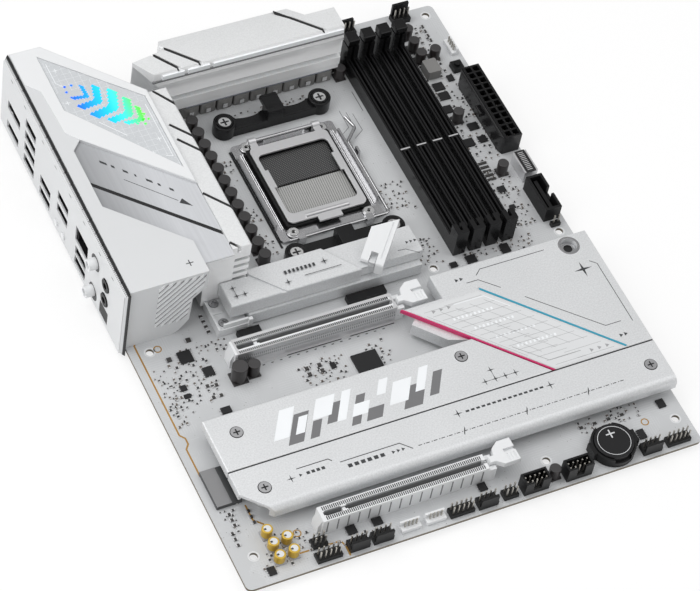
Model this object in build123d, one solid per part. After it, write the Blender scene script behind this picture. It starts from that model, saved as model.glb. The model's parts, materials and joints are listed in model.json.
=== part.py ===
from build123d import *
import os
from math import cos, radians

# Full-size desktop motherboard: a bare board with its sockets, slots, connectors, heatsinks and covers.
#
# Everything is drawn on the board: X runs from the rear-panel edge to the front edge, Y from the
# expansion-slot end to the rear-panel (I/O) end, and Z up from the component side. A span is a
# (low, high) pair. The last section moves each piece to the part's own frame, whose origin is the
# centre of the mounting hole in the slot-end rear corner, on the board's underside.

# ---- Board ------------------------------------------------------------------------------------
board_depth = 243.84
board_length = 304.8
board_thickness = 1.6
board_corner_radius = 3.0
mount_hole_radius = 1.98
hole_column_rear = 10.16
hole_column_middle = 165.1
hole_column_front = 237.49
hole_column_io = 33.02
hole_row_slot_end = 16.51
hole_row_middle = 140.97
hole_row_io_end = 298.45
solder_gap = 0.02              # a soldered part stands this far off the board

# ---- Processor socket -------------------------------------------------------------------------
socket_x = 127.5
socket_y = 213.3
cooler_hole_pitch_x = 54.0
cooler_hole_pitch_y = 90.0
cooler_boss_radius = 3.0
cooler_boss_clearance = 0.2
cooler_screw_radius = 1.7
cooler_thread_clearance = 0.1
cooler_screw_depth = 1.2
backplate_size = (68.0, 104.0)
backplate_thickness = 2.2
backplate_window = (34.0, 40.0)
backplate_corner_radius = 6.0

housing_size = (47.0, 53.0)
housing_height = 4.4
housing_wall = 3.4
housing_floor = 2.2
contact_height = 0.7
contact_margin = 0.6
contact_gap = 1.2              # bare strip between the two contact fields

frame_size = (58.0, 66.0)
frame_window = (48.0, 54.0)
frame_thickness = 1.4
frame_lift = 0.5
frame_side_wall = 1.2
frame_side_height = 3.6
frame_corner_radius = 2.0
frame_screw_inset = (7.8, 3.6)
frame_screw_radius = 2.6
frame_screw_height = 1.6

load_plate_size = (44.0, 52.0)
load_plate_window = (39.0, 40.6)
load_plate_thickness = 1.2
load_plate_lift = 4.7
load_plate_corner = 3.0
load_plate_notch = (1.6, 12.0)
load_hinge_radius = 1.0
load_hinge_gap = 0.3
load_hinge_offset = 30.4       # hinge line, from the socket centre towards the I/O end
load_tongue_size = (13.0, 3.2)
hinge_running_clearance = 0.05
knuckle_wall = 0.8
knuckle_width = 4.0

lever_radius = 0.9
lever_axis_offset = 34.3       # lever's axle, from the socket centre towards the slot end
lever_height = 3.4
lever_side_gap = 0.5
lever_arm_length = 50.0
lever_hook_reach = 7.5
lever_hook_length = 8.0
lever_bend_radius = 2.2
catch_offset = 8.0             # lever's catch, from the socket centre towards the I/O end
catch_height = 5.4

bracket_height = 8.0
bracket_ring_radius = 6.0
bracket_bar_width = 6.4
bracket_bar_height = 6.0
bracket_hook_width = 9.4
bracket_hook_reach = 7.4
bracket_hook_height = 12.5
bracket_hook_thickness = 3.0
bracket_arch_radius = 20.0
bracket_screw_head_radius = 4.2
bracket_screw_head_height = 1.8

# ---- Memory slots -----------------------------------------------------------------------------
dimm_count = 4
dimm_first_x = 181.2
dimm_pitch = 9.3
dimm_span = (144.8, board_length - 22.4)     # along Y, towers included
dimm_rail_width = 6.6
dimm_rail_height = 9.4
dimm_channel_width = 1.5
dimm_channel_floor = 2.6
dimm_key_from_start = 65.2
dimm_key_width = 1.6
dimm_tower_length = 6.6
dimm_tower_height = 17.5
dimm_far_tower_height = 18.4
dimm_latch_thickness = 4.0
dimm_latch_height = 23.4
dimm_latch_pivot_height = 5.0
dimm_latch_pin_radius = 0.9
dimm_latch_gap = 0.35
dimm_latch_head = (6.2, 4.4)      # width along X and height of the thumb block

# ---- Expansion slots --------------------------------------------------------------------------
pcie_upper_y = 122.3
pcie_lower_y = 20.3
pcie_start_x = 44.6
pcie_length = 87.5
pcie_width = 8.6
pcie_height = 11.25
pcie_channel_width = 1.9
pcie_channel_floor = 2.8
pcie_end_wall = 1.8
pcie_key_from_start = 12.6
pcie_key_width = 1.6
pcie_tail_length = 4.2
pcie_tail_height = 9.0
armor_thickness = 0.35
armor_gap = 0.05
armor_foot = 1.2
slot_contact_width = 0.35
slot_contact_depth = 3.0
latch_neck_width = 3.4
latch_paddle_length = 12.0
latch_paddle_span = (-4.6, 8.4)   # across the slot, from its centre line
latch_paddle_thickness = 3.4
latch_paddle_top = 11.6
latch_pivot_height = 4.0
latch_pin_radius = 0.9
latch_gap = 0.4
latch_fork_gap = 1.8

# ---- Storage covers ---------------------------------------------------------------------------
m2_heatsink_start_x = 52.0
m2_heatsink_end_x = 157.8
m2_heatsink_y = (141.2, 160.2)
m2_step_x = (108.6, 123.0)     # slanted step between the high and low tops, far side and near side
m2_high_top = 17.6
m2_low_top = 15.2
m2_low_set_back = 2.2
m2_split_height = 8.4
m2_joint_gap = 0.3
m2_corner_gap = 0.4            # to the voltage-regulator heatsink at the rear corner
m2_groove_width = 2.0
m2_groove_depth = 1.0
m2_groove_x = (63.0, 81.5)
m2_ledge = 1.4
m2_base_lift = 1.0
m2_bracket_x = (45.0, 61.0)
m2_bracket_y = (138.0, 156.6)
m2_bracket_height = 8.0
m2_bracket_shelf = 5.0
m2_bracket_screw_y = (142.2, 154.6)
m2_bracket_screw_x = 49.4

lever_pivot = (129.5, 143.9)   # release lever's hinge, on the low top
lever_heading = 46.0           # degrees from +X that the lever points along, seen from above
lever_raise = 38.0             # degrees it stands up by
lever_length = 24.6
lever_width = 12.0
lever_thickness = 3.2
lever_pin_radius = 0.8
lever_nose_drop = 6.0

cover_top = 12.0
cover_thickness = 2.2
cover_rear_x = 13.4
cover_seam_y = 56.2
cover_seam_gap = 0.5
cover_back_y = 87.6
cover_front_y = 30.0
cover_edge_radius = 4.0
cover_front_chamfer = (12.8, 13.5)
cover_skirt = 5.0
cover_side_wall = 1.6
cover_screw_radius = 3.0
cover_screw_height = 1.0
cover_screw_hole_radius = 3.3
cover_boss_radius = 3.6
chipset_cover_back_y = 129.6
chipset_step_x = 155.0
chipset_step_y = 115.0
chipset_corner_x = 133.4
chipset_trim_width = 1.1
chipset_strip_offset = 41.0     # second colour strip, along X from the slanted edge
chipset_strip_width = 1.0
chipset_strip_depth = 0.5
chipset_gap = 0.5
chipset_well_radius = 4.4
chipset_well_x = board_depth - 12.64
chipset_well_y = 123.2

# ---- Rear panel -------------------------------------------------------------------------------
shield_face_x = -3.6
shield_thickness = 0.8
shield_y = (147.1, board_length + 0.8)
shield_z = (-1.9, 42.2)
shield_flange_depth = 2.0
shield_flange_flare = 1.7
shield_flange_thickness = 0.5
shield_finger_pitch = 8.0
port_front_x = -2.4

shroud_rear_x = -0.3
shroud_y = (147.6, board_length + 2.6)
shroud_front_x = 56.6
shroud_near_x = 40.6
shroud_near_set_back = 6.0
shroud_top = 43.5
shroud_panel_drop = 1.4
shroud_wall = 1.8
shroud_far_corner_x = 16.4
shroud_far_diagonal_y = board_length - 41.3
shroud_skirt_bottom = 33.8
shroud_slot_width = 2.0
window_thickness = 1.2
window_gap = 0.15
window_lip = 1.0

# ---- Voltage-regulator heatsinks --------------------------------------------------------------
vrm_left_x = (43.5, 67.2)
vrm_left_y = (157.0, board_length - 41.8)
vrm_left_top = 41.6
vrm_left_bottom = 2.3
vrm_top_y = (board_length - 33.0, board_length - 10.4)
vrm_top_x = (57.5, 171.5)
vrm_top_top = 41.4
vrm_top_base = 9.6
vrm_top_leg_y = (vrm_top_y[0] + 11.6, vrm_top_y[0] + 19.6)
vrm_top_overhang = 15.6
vrm_groove_width = 2.0
vrm_groove_depth = 1.2
vrm_top_grooves = (              # ends as X and distance along Y from the heatsink's front face
    ((66.5, 18.2), (82.5, -3.8)),
    ((73.5, 19.7), (95.5, -3.8)),
    ((134.0, 28.2), (165.5, -3.8)),
)
choke_count = 9
choke_first_x = 88.6
choke_pitch = 9.5
choke_size = (8.6, 8.2, 7.4)
choke_front_y = vrm_top_y[0] + 1.2
stage_height = 0.9
heatsink_screw_radius = 2.4
heatsink_screw_head = 1.4

# ---- Power and header connectors --------------------------------------------------------------
atx_size = (10.0, 51.6, 12.8)
atx_centre_y = 222.8
atx_from_front = 1.4
atx_latch_depth = 3.0
power_cell_pitch = 4.2
power_cell_size = 3.2
power_cell_depth = 9.0
eps_centre_x = (86.0, 107.0)
eps_size = (18.6, 9.8, 12.8)
eps_from_edge = 0.4
pin_half_width = 0.32
header_pitch = 2.54
header_base_height = 2.54
header_pin_height = 8.0
battery_x = 199.0
battery_y = 12.0
battery_radius = 10.0
battery_thickness = 3.2
battery_seat_height = 3.2
battery_clearance = 0.3
battery_holder_radius = 11.4
battery_holder_height = 5.4
switch_size = 6.0
switch_height = 3.4
switch_plunger_radius = 1.6
switch_plunger_height = 1.4
switch_travel = 0.4
switch_clearance = 0.06
start_button_x = board_depth - 7.44
start_button_y = 258.6


# ---- Drawing helpers --------------------------------------------------------------------------
def block(x, y, z):
    """A box from three (low, high) spans."""
    centre = Pos((x[0] + x[1]) / 2, (y[0] + y[1]) / 2, (z[0] + z[1]) / 2)
    return centre * Box(x[1] - x[0], y[1] - y[0], z[1] - z[0])


def around(centre, size):
    """The span of a given size about a centre."""
    return (centre - size / 2, centre + size / 2)


def post(x, y, z, radius):
    """An upright cylinder over a Z span."""
    return Pos(x, y, (z[0] + z[1]) / 2) * Cylinder(radius, z[1] - z[0])


def rod_x(x, y, z, radius):
    """A cylinder along X over an X span."""
    return Pos((x[0] + x[1]) / 2, y, z) * Rot(0, 90, 0) * Cylinder(radius, x[1] - x[0])


def rod_y(x, y, z, radius):
    """A cylinder along Y over a Y span."""
    return Pos(x, (y[0] + y[1]) / 2, z) * Rot(90, 0, 0) * Cylinder(radius, y[1] - y[0])


def face_of(points):
    return make_face(Polyline(*points, close=True))


def prism(points, z):
    """A plan outline raised over a Z span."""
    return extrude(Pos(0, 0, z[0]) * face_of(points), z[1] - z[0])


def prism_x(points, x):
    """A (Y, Z) outline carried along X."""
    return extrude(Pos(x[0], 0, 0) * (Plane.YZ * face_of(points)), x[1] - x[0])


def prism_y(points, y):
    """An (X, Z) outline carried along Y."""
    return extrude(Pos(0, y[1], 0) * (Plane.XZ * face_of(points)), y[1] - y[0])


def rounded(x, y, z, radius):
    """A box with rounded upright corners."""
    solid = block(x, y, z)
    return fillet(solid.edges().filter_by(Axis.Z), radius)


def group(shapes):
    """Separate solids of one kind as one node."""
    solids = []
    for shape in shapes:
        solids += list(shape.solids())
    return Compound(solids)


def strip(start, end, width, z):
    """A straight band between two plan points."""
    (x0, y0), (x1, y1) = start, end
    length = ((x1 - x0) ** 2 + (y1 - y0) ** 2) ** 0.5
    across = ((y0 - y1) / length * width / 2, (x1 - x0) / length * width / 2)
    outline = [
        (x0 + across[0], y0 + across[1]),
        (x1 + across[0], y1 + across[1]),
        (x1 - across[0], y1 - across[1]),
        (x0 - across[0], y0 - across[1]),
    ]
    return prism(outline, z)


seated = solder_gap            # underside of every part soldered to the board
under = -board_thickness       # the board's underside

mount_holes = [
    (column, row)
    for row in (hole_row_slot_end, hole_row_middle)
    for column in (hole_column_rear, hole_column_middle, hole_column_front)
] + [
    (hole_column_io, hole_row_io_end),
    (hole_column_middle, hole_row_io_end),
    (hole_column_front, hole_row_io_end),
]
cooler_holes = [
    (socket_x + side * cooler_hole_pitch_x / 2, socket_y + end * cooler_hole_pitch_y / 2)
    for side in (-1, 1)
    for end in (-1, 1)
]
frame_screws = [
    (
        socket_x + side * (frame_size[0] / 2 - frame_screw_inset[0]),
        socket_y + end * (frame_size[1] / 2 - frame_screw_inset[1]),
    )
    for side in (-1, 1)
    for end in (-1, 1)
]
antenna_places = [(180.6, 28.6), (181.4, 6.4)]
antenna_radius = 3.1
antenna_reach = 4.6


# ---- Board and socket -------------------------------------------------------------------------
def circuit_board():
    board = rounded((0, board_depth), (0, board_length), (under, 0), board_corner_radius)
    for x, y in mount_holes:
        board -= post(x, y, (under - 1, 1), mount_hole_radius)
    for x, y in cooler_holes:
        board -= post(x, y, (under - 1, 1), cooler_boss_radius + cooler_boss_clearance)
    return board


def socket_backplate():
    top = under
    z = (top - backplate_thickness, top)
    plate = rounded(
        around(socket_x, backplate_size[0]), around(socket_y, backplate_size[1]), z, backplate_corner_radius
    )
    plate -= rounded(
        around(socket_x, backplate_window[0]),
        around(socket_y, backplate_window[1]),
        (z[0] - 1, z[1] + 1),
        backplate_corner_radius,
    )
    for x, y in cooler_holes:
        plate += post(x, y, (z[0], 0), cooler_boss_radius)
        bore = cooler_screw_radius + cooler_thread_clearance
        plate -= post(x, y, (z[0] - 1, 1), bore)
    return plate


def socket_housing():
    x, y = around(socket_x, housing_size[0]), around(socket_y, housing_size[1])
    housing = rounded(x, y, (seated, housing_height), 1.5)
    inner_x = (x[0] + housing_wall, x[1] - housing_wall)
    inner_y = (y[0] + housing_wall * 1.6, y[1] - housing_wall * 1.6)
    return housing - block(inner_x, inner_y, (housing_floor, housing_height + 1))


def socket_contacts():
    half_x = housing_size[0] / 2 - housing_wall - contact_margin
    half_y = housing_size[1] / 2 - housing_wall * 1.6 - contact_margin
    z = (housing_floor, housing_floor + contact_height)
    x = around(socket_x, 2 * half_x)
    near = block(x, (socket_y - half_y, socket_y - contact_gap / 2), z)
    far = block(x, (socket_y + contact_gap / 2, socket_y + half_y), z)
    return group([near, far])


def hinge_knuckles(gap_sign):
    """Spans along X of the two load-plate knuckles (+1) or of the frame's own two (-1)."""
    inner = load_plate_size[0] / 2 - knuckle_width
    if gap_sign > 0:
        return [
            (socket_x + side * inner - knuckle_width / 2, socket_x + side * inner + knuckle_width / 2)
            for side in (-1, 1)
        ]
    outer = inner - knuckle_width - load_hinge_gap
    return [
        (socket_x + side * outer - knuckle_width / 2, socket_x + side * outer + knuckle_width / 2)
        for side in (-1, 1)
    ]


hinge_y = socket_y + load_hinge_offset
hinge_z = load_plate_lift + load_plate_thickness / 2
lever_axis_y = socket_y - lever_axis_offset
knuckle_radius = load_hinge_radius + knuckle_wall


def socket_frame():
    x, y = around(socket_x, frame_size[0]), around(socket_y, frame_size[1])
    z = (frame_lift, frame_lift + frame_thickness)
    frame = rounded(x, y, z, frame_corner_radius)
    window_x, window_y = around(socket_x, frame_window[0]), around(socket_y, frame_window[1])
    frame -= block(window_x, window_y, (z[0] - 1, z[1] + 1))
    for side in (-1, 1):
        edge = socket_x + side * frame_size[0] / 2
        wall = sorted((edge, edge - side * frame_side_wall))
        frame += block(wall, (y[0] + 9, y[1] - 9), (z[1], z[1] + frame_side_height))
    for x_screw, y_screw in frame_screws:
        frame -= post(x_screw, y_screw, (z[0] - 1, z[1] + 1), frame_screw_radius * 0.62)
    # Hinge pin for the load plate, on two posts of the frame.
    pin_half = load_plate_size[0] / 2 - knuckle_width / 2 + load_hinge_gap
    pin_radius = load_hinge_radius - hinge_running_clearance
    frame += rod_x((socket_x - pin_half, socket_x + pin_half), hinge_y, hinge_z, pin_radius)
    for span in hinge_knuckles(-1):
        frame += block(span, (hinge_y - 0.9, hinge_y + 0.9), (z[0], hinge_z))
    # Hooks that hold the lever's axle, open towards the slot end.
    saddle = lever_radius + hinge_running_clearance
    for side in (-1, 1):
        hook_x = around(socket_x + side * 19.0, 4.0)
        hook_y = (lever_axis_y - saddle - 0.9, y[0] + 0.5)
        hook = block(hook_x, hook_y, (z[0], lever_height + saddle + 0.8))
        hook -= rod_x((hook_x[0] - 1, hook_x[1] + 1), lever_axis_y, lever_height, saddle)
        frame += hook
    # Catch tab beside the lever's arm.
    catch_x = x[1] + lever_side_gap + 2 * lever_radius + 0.4
    catch_y = around(socket_y + catch_offset, 4.0)
    frame += block((x[1] - 1, catch_x + frame_side_wall), catch_y, z)
    frame += block((catch_x, catch_x + frame_side_wall), catch_y, (z[0], catch_height))
    return frame


def frame_screw_heads():
    bottom = frame_lift + frame_thickness
    heads = []
    for x, y in frame_screws:
        head = post(x, y, (bottom, bottom + frame_screw_height), frame_screw_radius)
        recess = post(x, y, (bottom + frame_screw_height - 0.8, bottom + frame_screw_height + 1), 1.1)
        shank = post(x, y, (seated, bottom), frame_screw_radius * 0.55)
        heads.append(head - recess + shank)
    return heads


def load_plate():
    z = (load_plate_lift, load_plate_lift + load_plate_thickness)
    x = around(socket_x, load_plate_size[0])
    y = around(socket_y, load_plate_size[1])
    plate = rounded(x, y, z, load_plate_corner)
    window = rounded(
        around(socket_x, load_plate_window[0]),
        around(socket_y, load_plate_window[1]),
        (z[0] - 1, z[1] + 1),
        load_plate_corner,
    )
    plate -= window
    for side in (-1, 1):
        tab_x = sorted((
            socket_x + side * load_plate_window[0] / 2,
            socket_x + side * (load_plate_window[0] / 2 - load_plate_notch[0]),
        ))
        plate += block(tab_x, around(socket_y + 4.0, load_plate_notch[1]), z)
    # Raised stiffening bead across the slot-end side, and the tongue beyond it.
    plate += rod_x(around(socket_x, 24.0), y[0] + 2.2, z[1], 1.1) & block(
        around(socket_x, 30.0), (y[0], y[0] + 5), (z[0], z[1] + 3)
    )
    tongue_y = (y[0] - load_tongue_size[1], y[0] + 1)
    plate += block(around(socket_x, load_tongue_size[0]), tongue_y, z)
    for span in hinge_knuckles(1):
        arm = block(span, (y[1] - 0.5, hinge_y), (z[0], z[1]))
        plate += arm + rod_x(span, hinge_y, hinge_z, knuckle_radius)
    for span in hinge_knuckles(1):
        plate -= rod_x((span[0] - 1, span[1] + 1), hinge_y, hinge_z, load_hinge_radius)
    return plate


def load_lever():
    arm_x = socket_x + frame_size[0] / 2 + lever_side_gap + lever_radius
    start_x = socket_x - frame_size[0] / 2 + 4.0
    bend_y = lever_axis_y + lever_arm_length
    route = [
        (start_x, lever_axis_y, lever_height),
        (arm_x, lever_axis_y, lever_height),
        (arm_x, bend_y, lever_height),
        (arm_x + lever_hook_reach, bend_y + lever_hook_reach, lever_height),
        (arm_x + lever_hook_reach - 2.0, bend_y + lever_hook_reach + lever_hook_length, lever_height),
    ]
    path = FilletPolyline(*route, radius=lever_bend_radius)
    section = Plane(origin=route[0], z_dir=(1, 0, 0)) * Circle(lever_radius)
    return sweep(section, path=path)


def cooler_brackets():
    brackets = []
    for end in (-1, 1):
        bar_y = socket_y + end * cooler_hole_pitch_y / 2
        left = socket_x - cooler_hole_pitch_x / 2
        right = socket_x + cooler_hole_pitch_x / 2
        bar_span = sorted((bar_y - end * bracket_bar_width * 0.75, bar_y + end * bracket_bar_width * 0.45))
        bar = block((left, right), bar_span, (seated, bracket_bar_height))
        for ring_x in (left, right):
            bar += post(ring_x, bar_y, (seated, bracket_height), bracket_ring_radius)
        # Two shallow arcs thin the bar beside the hook.
        arch_y = bar_y + end * (bracket_arch_radius + bracket_bar_width * 0.16)
        for side in (-1, 1):
            arch_x = socket_x + side * cooler_hole_pitch_x * 0.24
            arch_z = (bracket_bar_height * 0.45, bracket_height + 1)
            cutter = post(arch_x, arch_y, arch_z, bracket_arch_radius)
            keep_out = block(around(arch_x, 14.0), around(bar_y, 30.0), (0, bracket_height + 2))
            bar -= cutter & keep_out
        hook_x = around(socket_x, bracket_hook_width)
        riser = block(hook_x, bar_span, (seated, bracket_hook_height))
        reach = sorted((bar_span[1] if end > 0 else bar_span[0], bar_y + end * bracket_hook_reach))
        lip = block(hook_x, reach, (bracket_hook_height - bracket_hook_thickness, bracket_hook_height))
        bar += riser + lip
        for ring_x in (left, right):
            seat_z = (bracket_height - bracket_screw_head_height, bracket_height + 1)
            bar -= post(ring_x, bar_y, seat_z, bracket_screw_head_radius + 0.3)
            bar -= post(ring_x, bar_y, (-1, bracket_height + 1), cooler_screw_radius + 0.3)
        brackets.append(bar)
    return group(brackets)


def bracket_screws():
    """Cross-slotted screws through the cooler brackets into the backplate."""
    screws = []
    seat = bracket_height - bracket_screw_head_height
    for x, y in cooler_holes:
        head = post(x, y, (seat, seat + bracket_screw_head_height), bracket_screw_head_radius)
        for turn in (0, 90):
            slot = Box(bracket_screw_head_radius * 1.1, 1.0, 2.4)
            head -= Pos(x, y, seat + bracket_screw_head_height) * Rot(0, 0, turn) * slot
        screws.append(head + post(x, y, (-cooler_screw_depth, seat), cooler_screw_radius))
    return screws


def socket_screws():
    return group(frame_screw_heads() + bracket_screws())


# ---- Memory slots -----------------------------------------------------------------------------
dimm_columns = [dimm_first_x + n * dimm_pitch for n in range(dimm_count)]
dimm_far_y = dimm_span[1] - dimm_tower_length
dimm_pivot_y = dimm_far_y + dimm_tower_length * 0.55
dimm_latch_half = dimm_latch_thickness / 2


def dimm_slots():
    slots = []
    for x in dimm_columns:
        rail_x = around(x, dimm_rail_width)
        rail = block(rail_x, dimm_span, (seated, dimm_rail_height))
        near_y = (dimm_span[0], dimm_span[0] + dimm_tower_length)
        rail += block(rail_x, near_y, (seated, dimm_tower_height))
        far_y = (dimm_far_y, dimm_span[1])
        rail += block(rail_x, far_y, (seated, dimm_far_tower_height))
        channel_y = (dimm_span[0] + 2.0, dimm_far_y + 1.0)
        channel = around(x, dimm_channel_width)
        rail -= block(channel, channel_y, (dimm_channel_floor, dimm_tower_height + 1))
        key = dimm_span[0] + dimm_key_from_start
        rail += block(channel, around(key, dimm_key_width), (dimm_channel_floor - 0.1, dimm_rail_height))
        # Grooves along both shoulders of the rail.
        for side in (-1, 1):
            groove = around(x + side * dimm_rail_width * 0.31, 0.7)
            groove_y = (near_y[1] + 0.8, far_y[0] - 0.8)
            rail -= block(groove, groove_y, (dimm_rail_height - 1.2, dimm_rail_height + 1))
        # Fork that the latch turns in.
        fork = around(x, dimm_latch_thickness + 2 * dimm_latch_gap)
        rail -= block(fork, (far_y[0] + 0.6, far_y[1] + 1), (dimm_latch_pivot_height - 3.4, 30))
        bore = dimm_latch_pin_radius
        rail -= rod_x((rail_x[0] - 1, rail_x[1] + 1), dimm_pivot_y, dimm_latch_pivot_height, bore)
        slots.append(rail)
    return group(slots)


def dimm_latch(index):
    x = dimm_columns[index]
    pivot = (dimm_pivot_y, dimm_latch_pivot_height)
    far = dimm_span[1]
    head_width, head_height = dimm_latch_head
    head_bottom = dimm_latch_height - head_height
    outline = [
        (pivot[0] - 2.4, pivot[1] - 1.0),
        (pivot[0] + 1.6, pivot[1] - 2.6),
        (far - 0.2, pivot[1] + 2.0),
        (far - 0.2, head_bottom + 0.5),
        (pivot[0] - 2.4, head_bottom + 0.5),
    ]
    latch = prism_x(outline, (x - dimm_latch_half, x + dimm_latch_half))
    head = [
        (dimm_far_y + 0.8, head_bottom),
        (dimm_far_y, head_bottom + 1.2),
        (dimm_far_y, dimm_latch_height - 0.4),
        (dimm_far_y + 0.6, dimm_latch_height),
        (far + 0.2, dimm_latch_height),
        (far + 0.2, head_bottom),
    ]
    latch += prism_x(head, around(x, head_width))
    pin_half = dimm_rail_width / 2 - 0.1
    pin = rod_x((x - pin_half, x + pin_half), *pivot, dimm_latch_pin_radius - hinge_running_clearance)
    return latch + pin


# ---- Expansion slots --------------------------------------------------------------------------
def pcie_slot(y_centre):
    x = (pcie_start_x, pcie_start_x + pcie_length)
    y = around(y_centre, pcie_width)
    slot = block(x, y, (seated, pcie_height))
    # Sloped shoulder at the rear end and a lower tail that carries the latch at the front end.
    slot += prism_y(
        [
            (x[0], seated),
            (x[0] - 1.8, seated),
            (x[0] - 1.8, pcie_height * 0.5),
            (x[0], pcie_height - 1.0),
        ],
        around(y_centre, pcie_width * 0.7),
    )
    tail_x = (x[1], x[1] + pcie_tail_length)
    slot += block(tail_x, y, (seated, pcie_tail_height))
    channel = around(y_centre, pcie_channel_width)
    channel_x = (x[0] + pcie_end_wall, tail_x[1] + 1)
    slot -= block(channel_x, channel, (pcie_channel_floor, pcie_height + 1))
    key = x[0] + pcie_key_from_start
    slot += block(around(key, pcie_key_width), channel, (pcie_channel_floor - 0.1, pcie_height - 1.2))
    # Pocket for the contacts on both sides of the channel, split by the key.
    for side in (-1, 1):
        pocket_y = sorted((
            y_centre + side * pcie_channel_width / 2,
            y_centre + side * (pcie_channel_width / 2 + slot_contact_width + 0.25),
        ))
        for pocket_x in ((channel_x[0] + 0.8, key - 1.4), (key + 1.4, x[1] - pcie_end_wall)):
            slot -= block(pocket_x, pocket_y, (pcie_channel_floor, pcie_height + 1))
    fork = around(y_centre, latch_neck_width + 2 * latch_gap)
    slot -= block((tail_x[0] + 0.8, tail_x[1] + 1), fork, (latch_pivot_height - 2.2, pcie_height + 1))
    pivot_x = tail_x[0] + pcie_tail_length * 0.55
    slot -= rod_y(pivot_x, (y[0] - 1, y[1] + 1), latch_pivot_height, latch_pin_radius)
    return slot


pcie_pivot_x = pcie_start_x + pcie_length + pcie_tail_length * 0.55
pcie_tail_end = pcie_start_x + pcie_length + pcie_tail_length


def pcie_latch(y_centre):
    """Neck on a pin in the slot's tail, and a wide forked paddle beyond the tail."""
    neck_y = around(y_centre, latch_neck_width)
    neck = prism_y(
        [
            (pcie_pivot_x - 0.9, latch_pivot_height - 1.0),
            (pcie_pivot_x + 1.2, latch_pivot_height - 1.8),
            (pcie_tail_end + latch_gap + 1.0, latch_pivot_height + 1.0),
            (pcie_tail_end + latch_gap + 1.0, latch_paddle_top),
            (pcie_pivot_x - 0.4, latch_paddle_top),
            (pcie_pivot_x - 1.2, latch_paddle_top - 2.4),
        ],
        neck_y,
    )
    x0 = pcie_tail_end + latch_gap
    x1 = x0 + latch_paddle_length
    low, high = y_centre + latch_paddle_span[0], y_centre + latch_paddle_span[1]
    z = (latch_paddle_top - latch_paddle_thickness, latch_paddle_top)
    outline = [
        (x0, y_centre - latch_neck_width / 2),
        (x0 + 3.4, low),
        (x1, low),
        (x1, high),
        (x0 + 5.0, high),
        (x0 + 1.0, high - 3.0),
        (x0, y_centre + latch_neck_width / 2),
    ]
    paddle = prism(outline, z)
    split = around(y_centre + 2.4, latch_fork_gap)
    paddle -= block((x0 + 6.0, x1 + 1), split, (z[1] - 1.6, z[1] + 1))
    for rib in range(3):
        rib_x = x0 + 6.6 + rib * 1.8
        paddle -= block((rib_x, rib_x + 0.7), (low + 1.0, y_centre + 0.4), (z[1] - 0.4, z[1] + 1))
    pin_half = pcie_width / 2 - 0.1
    pin = rod_y(
        pcie_pivot_x,
        around(y_centre, 2 * pin_half),
        latch_pivot_height,
        latch_pin_radius - hinge_running_clearance,
    )
    return neck + paddle + pin


def pcie_armor():
    """Folded steel sleeve round the upper slot, with soldered feet along its near side."""
    x = (pcie_start_x + 1.2, pcie_start_x + pcie_length - 0.4)
    inner = around(pcie_upper_y, pcie_width + 2 * armor_gap)
    outer = (inner[0] - armor_thickness, inner[1] + armor_thickness)
    near = block(x, (outer[0], inner[0]), (seated, pcie_height + armor_thickness))
    far = block(x, (inner[1], outer[1]), (seated, pcie_height + armor_thickness))
    sleeve = near + far
    top_z = (pcie_height + armor_gap, pcie_height + armor_thickness)
    for low, high in ((outer[0], inner[0] + 1.5), (inner[1] - 1.5, outer[1])):
        sleeve += block(x, (low, high), top_z)
    for end_x in ((x[0], x[0] + 1.0), (x[1] - 1.0, x[1])):
        sleeve += block(end_x, outer, top_z)
    sleeve += block(x, (outer[0] - armor_foot, outer[0] + 0.1), (seated, seated + armor_thickness))
    return sleeve


def slot_contacts():
    rows = []
    for y_centre in (pcie_upper_y, pcie_lower_y):
        key = pcie_start_x + pcie_key_from_start
        spans = (
            (pcie_start_x + pcie_end_wall + 1.0, key - 1.6),
            (key + 1.6, pcie_start_x + pcie_length - pcie_end_wall - 0.2),
        )
        for side in (-1, 1):
            y = sorted((
                y_centre + side * (pcie_channel_width / 2 + 0.2),
                y_centre + side * (pcie_channel_width / 2 + 0.2 + slot_contact_width),
            ))
            for span in spans:
                rows.append(block(span, y, (pcie_channel_floor, pcie_channel_floor + slot_contact_depth)))
    return group(rows)


# ---- Storage heatsinks and covers -------------------------------------------------------------
m2_front_y, m2_rear_y = m2_heatsink_y
m2_low_front_y = m2_front_y + m2_low_set_back
m2_lift_from = m2_split_height + m2_joint_gap
release_pivot_z = m2_low_top + 1.5
release_lug_half = 1.5


def turned_lever(shape, raise_angle):
    """From the lever's own frame (X along it, Z up, pivot at the origin) to its place."""
    raised = Rot(0, -raise_angle, 0) * shape
    return Pos(lever_pivot[0], lever_pivot[1], release_pivot_z) * Rot(0, 0, lever_heading) * raised


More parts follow.
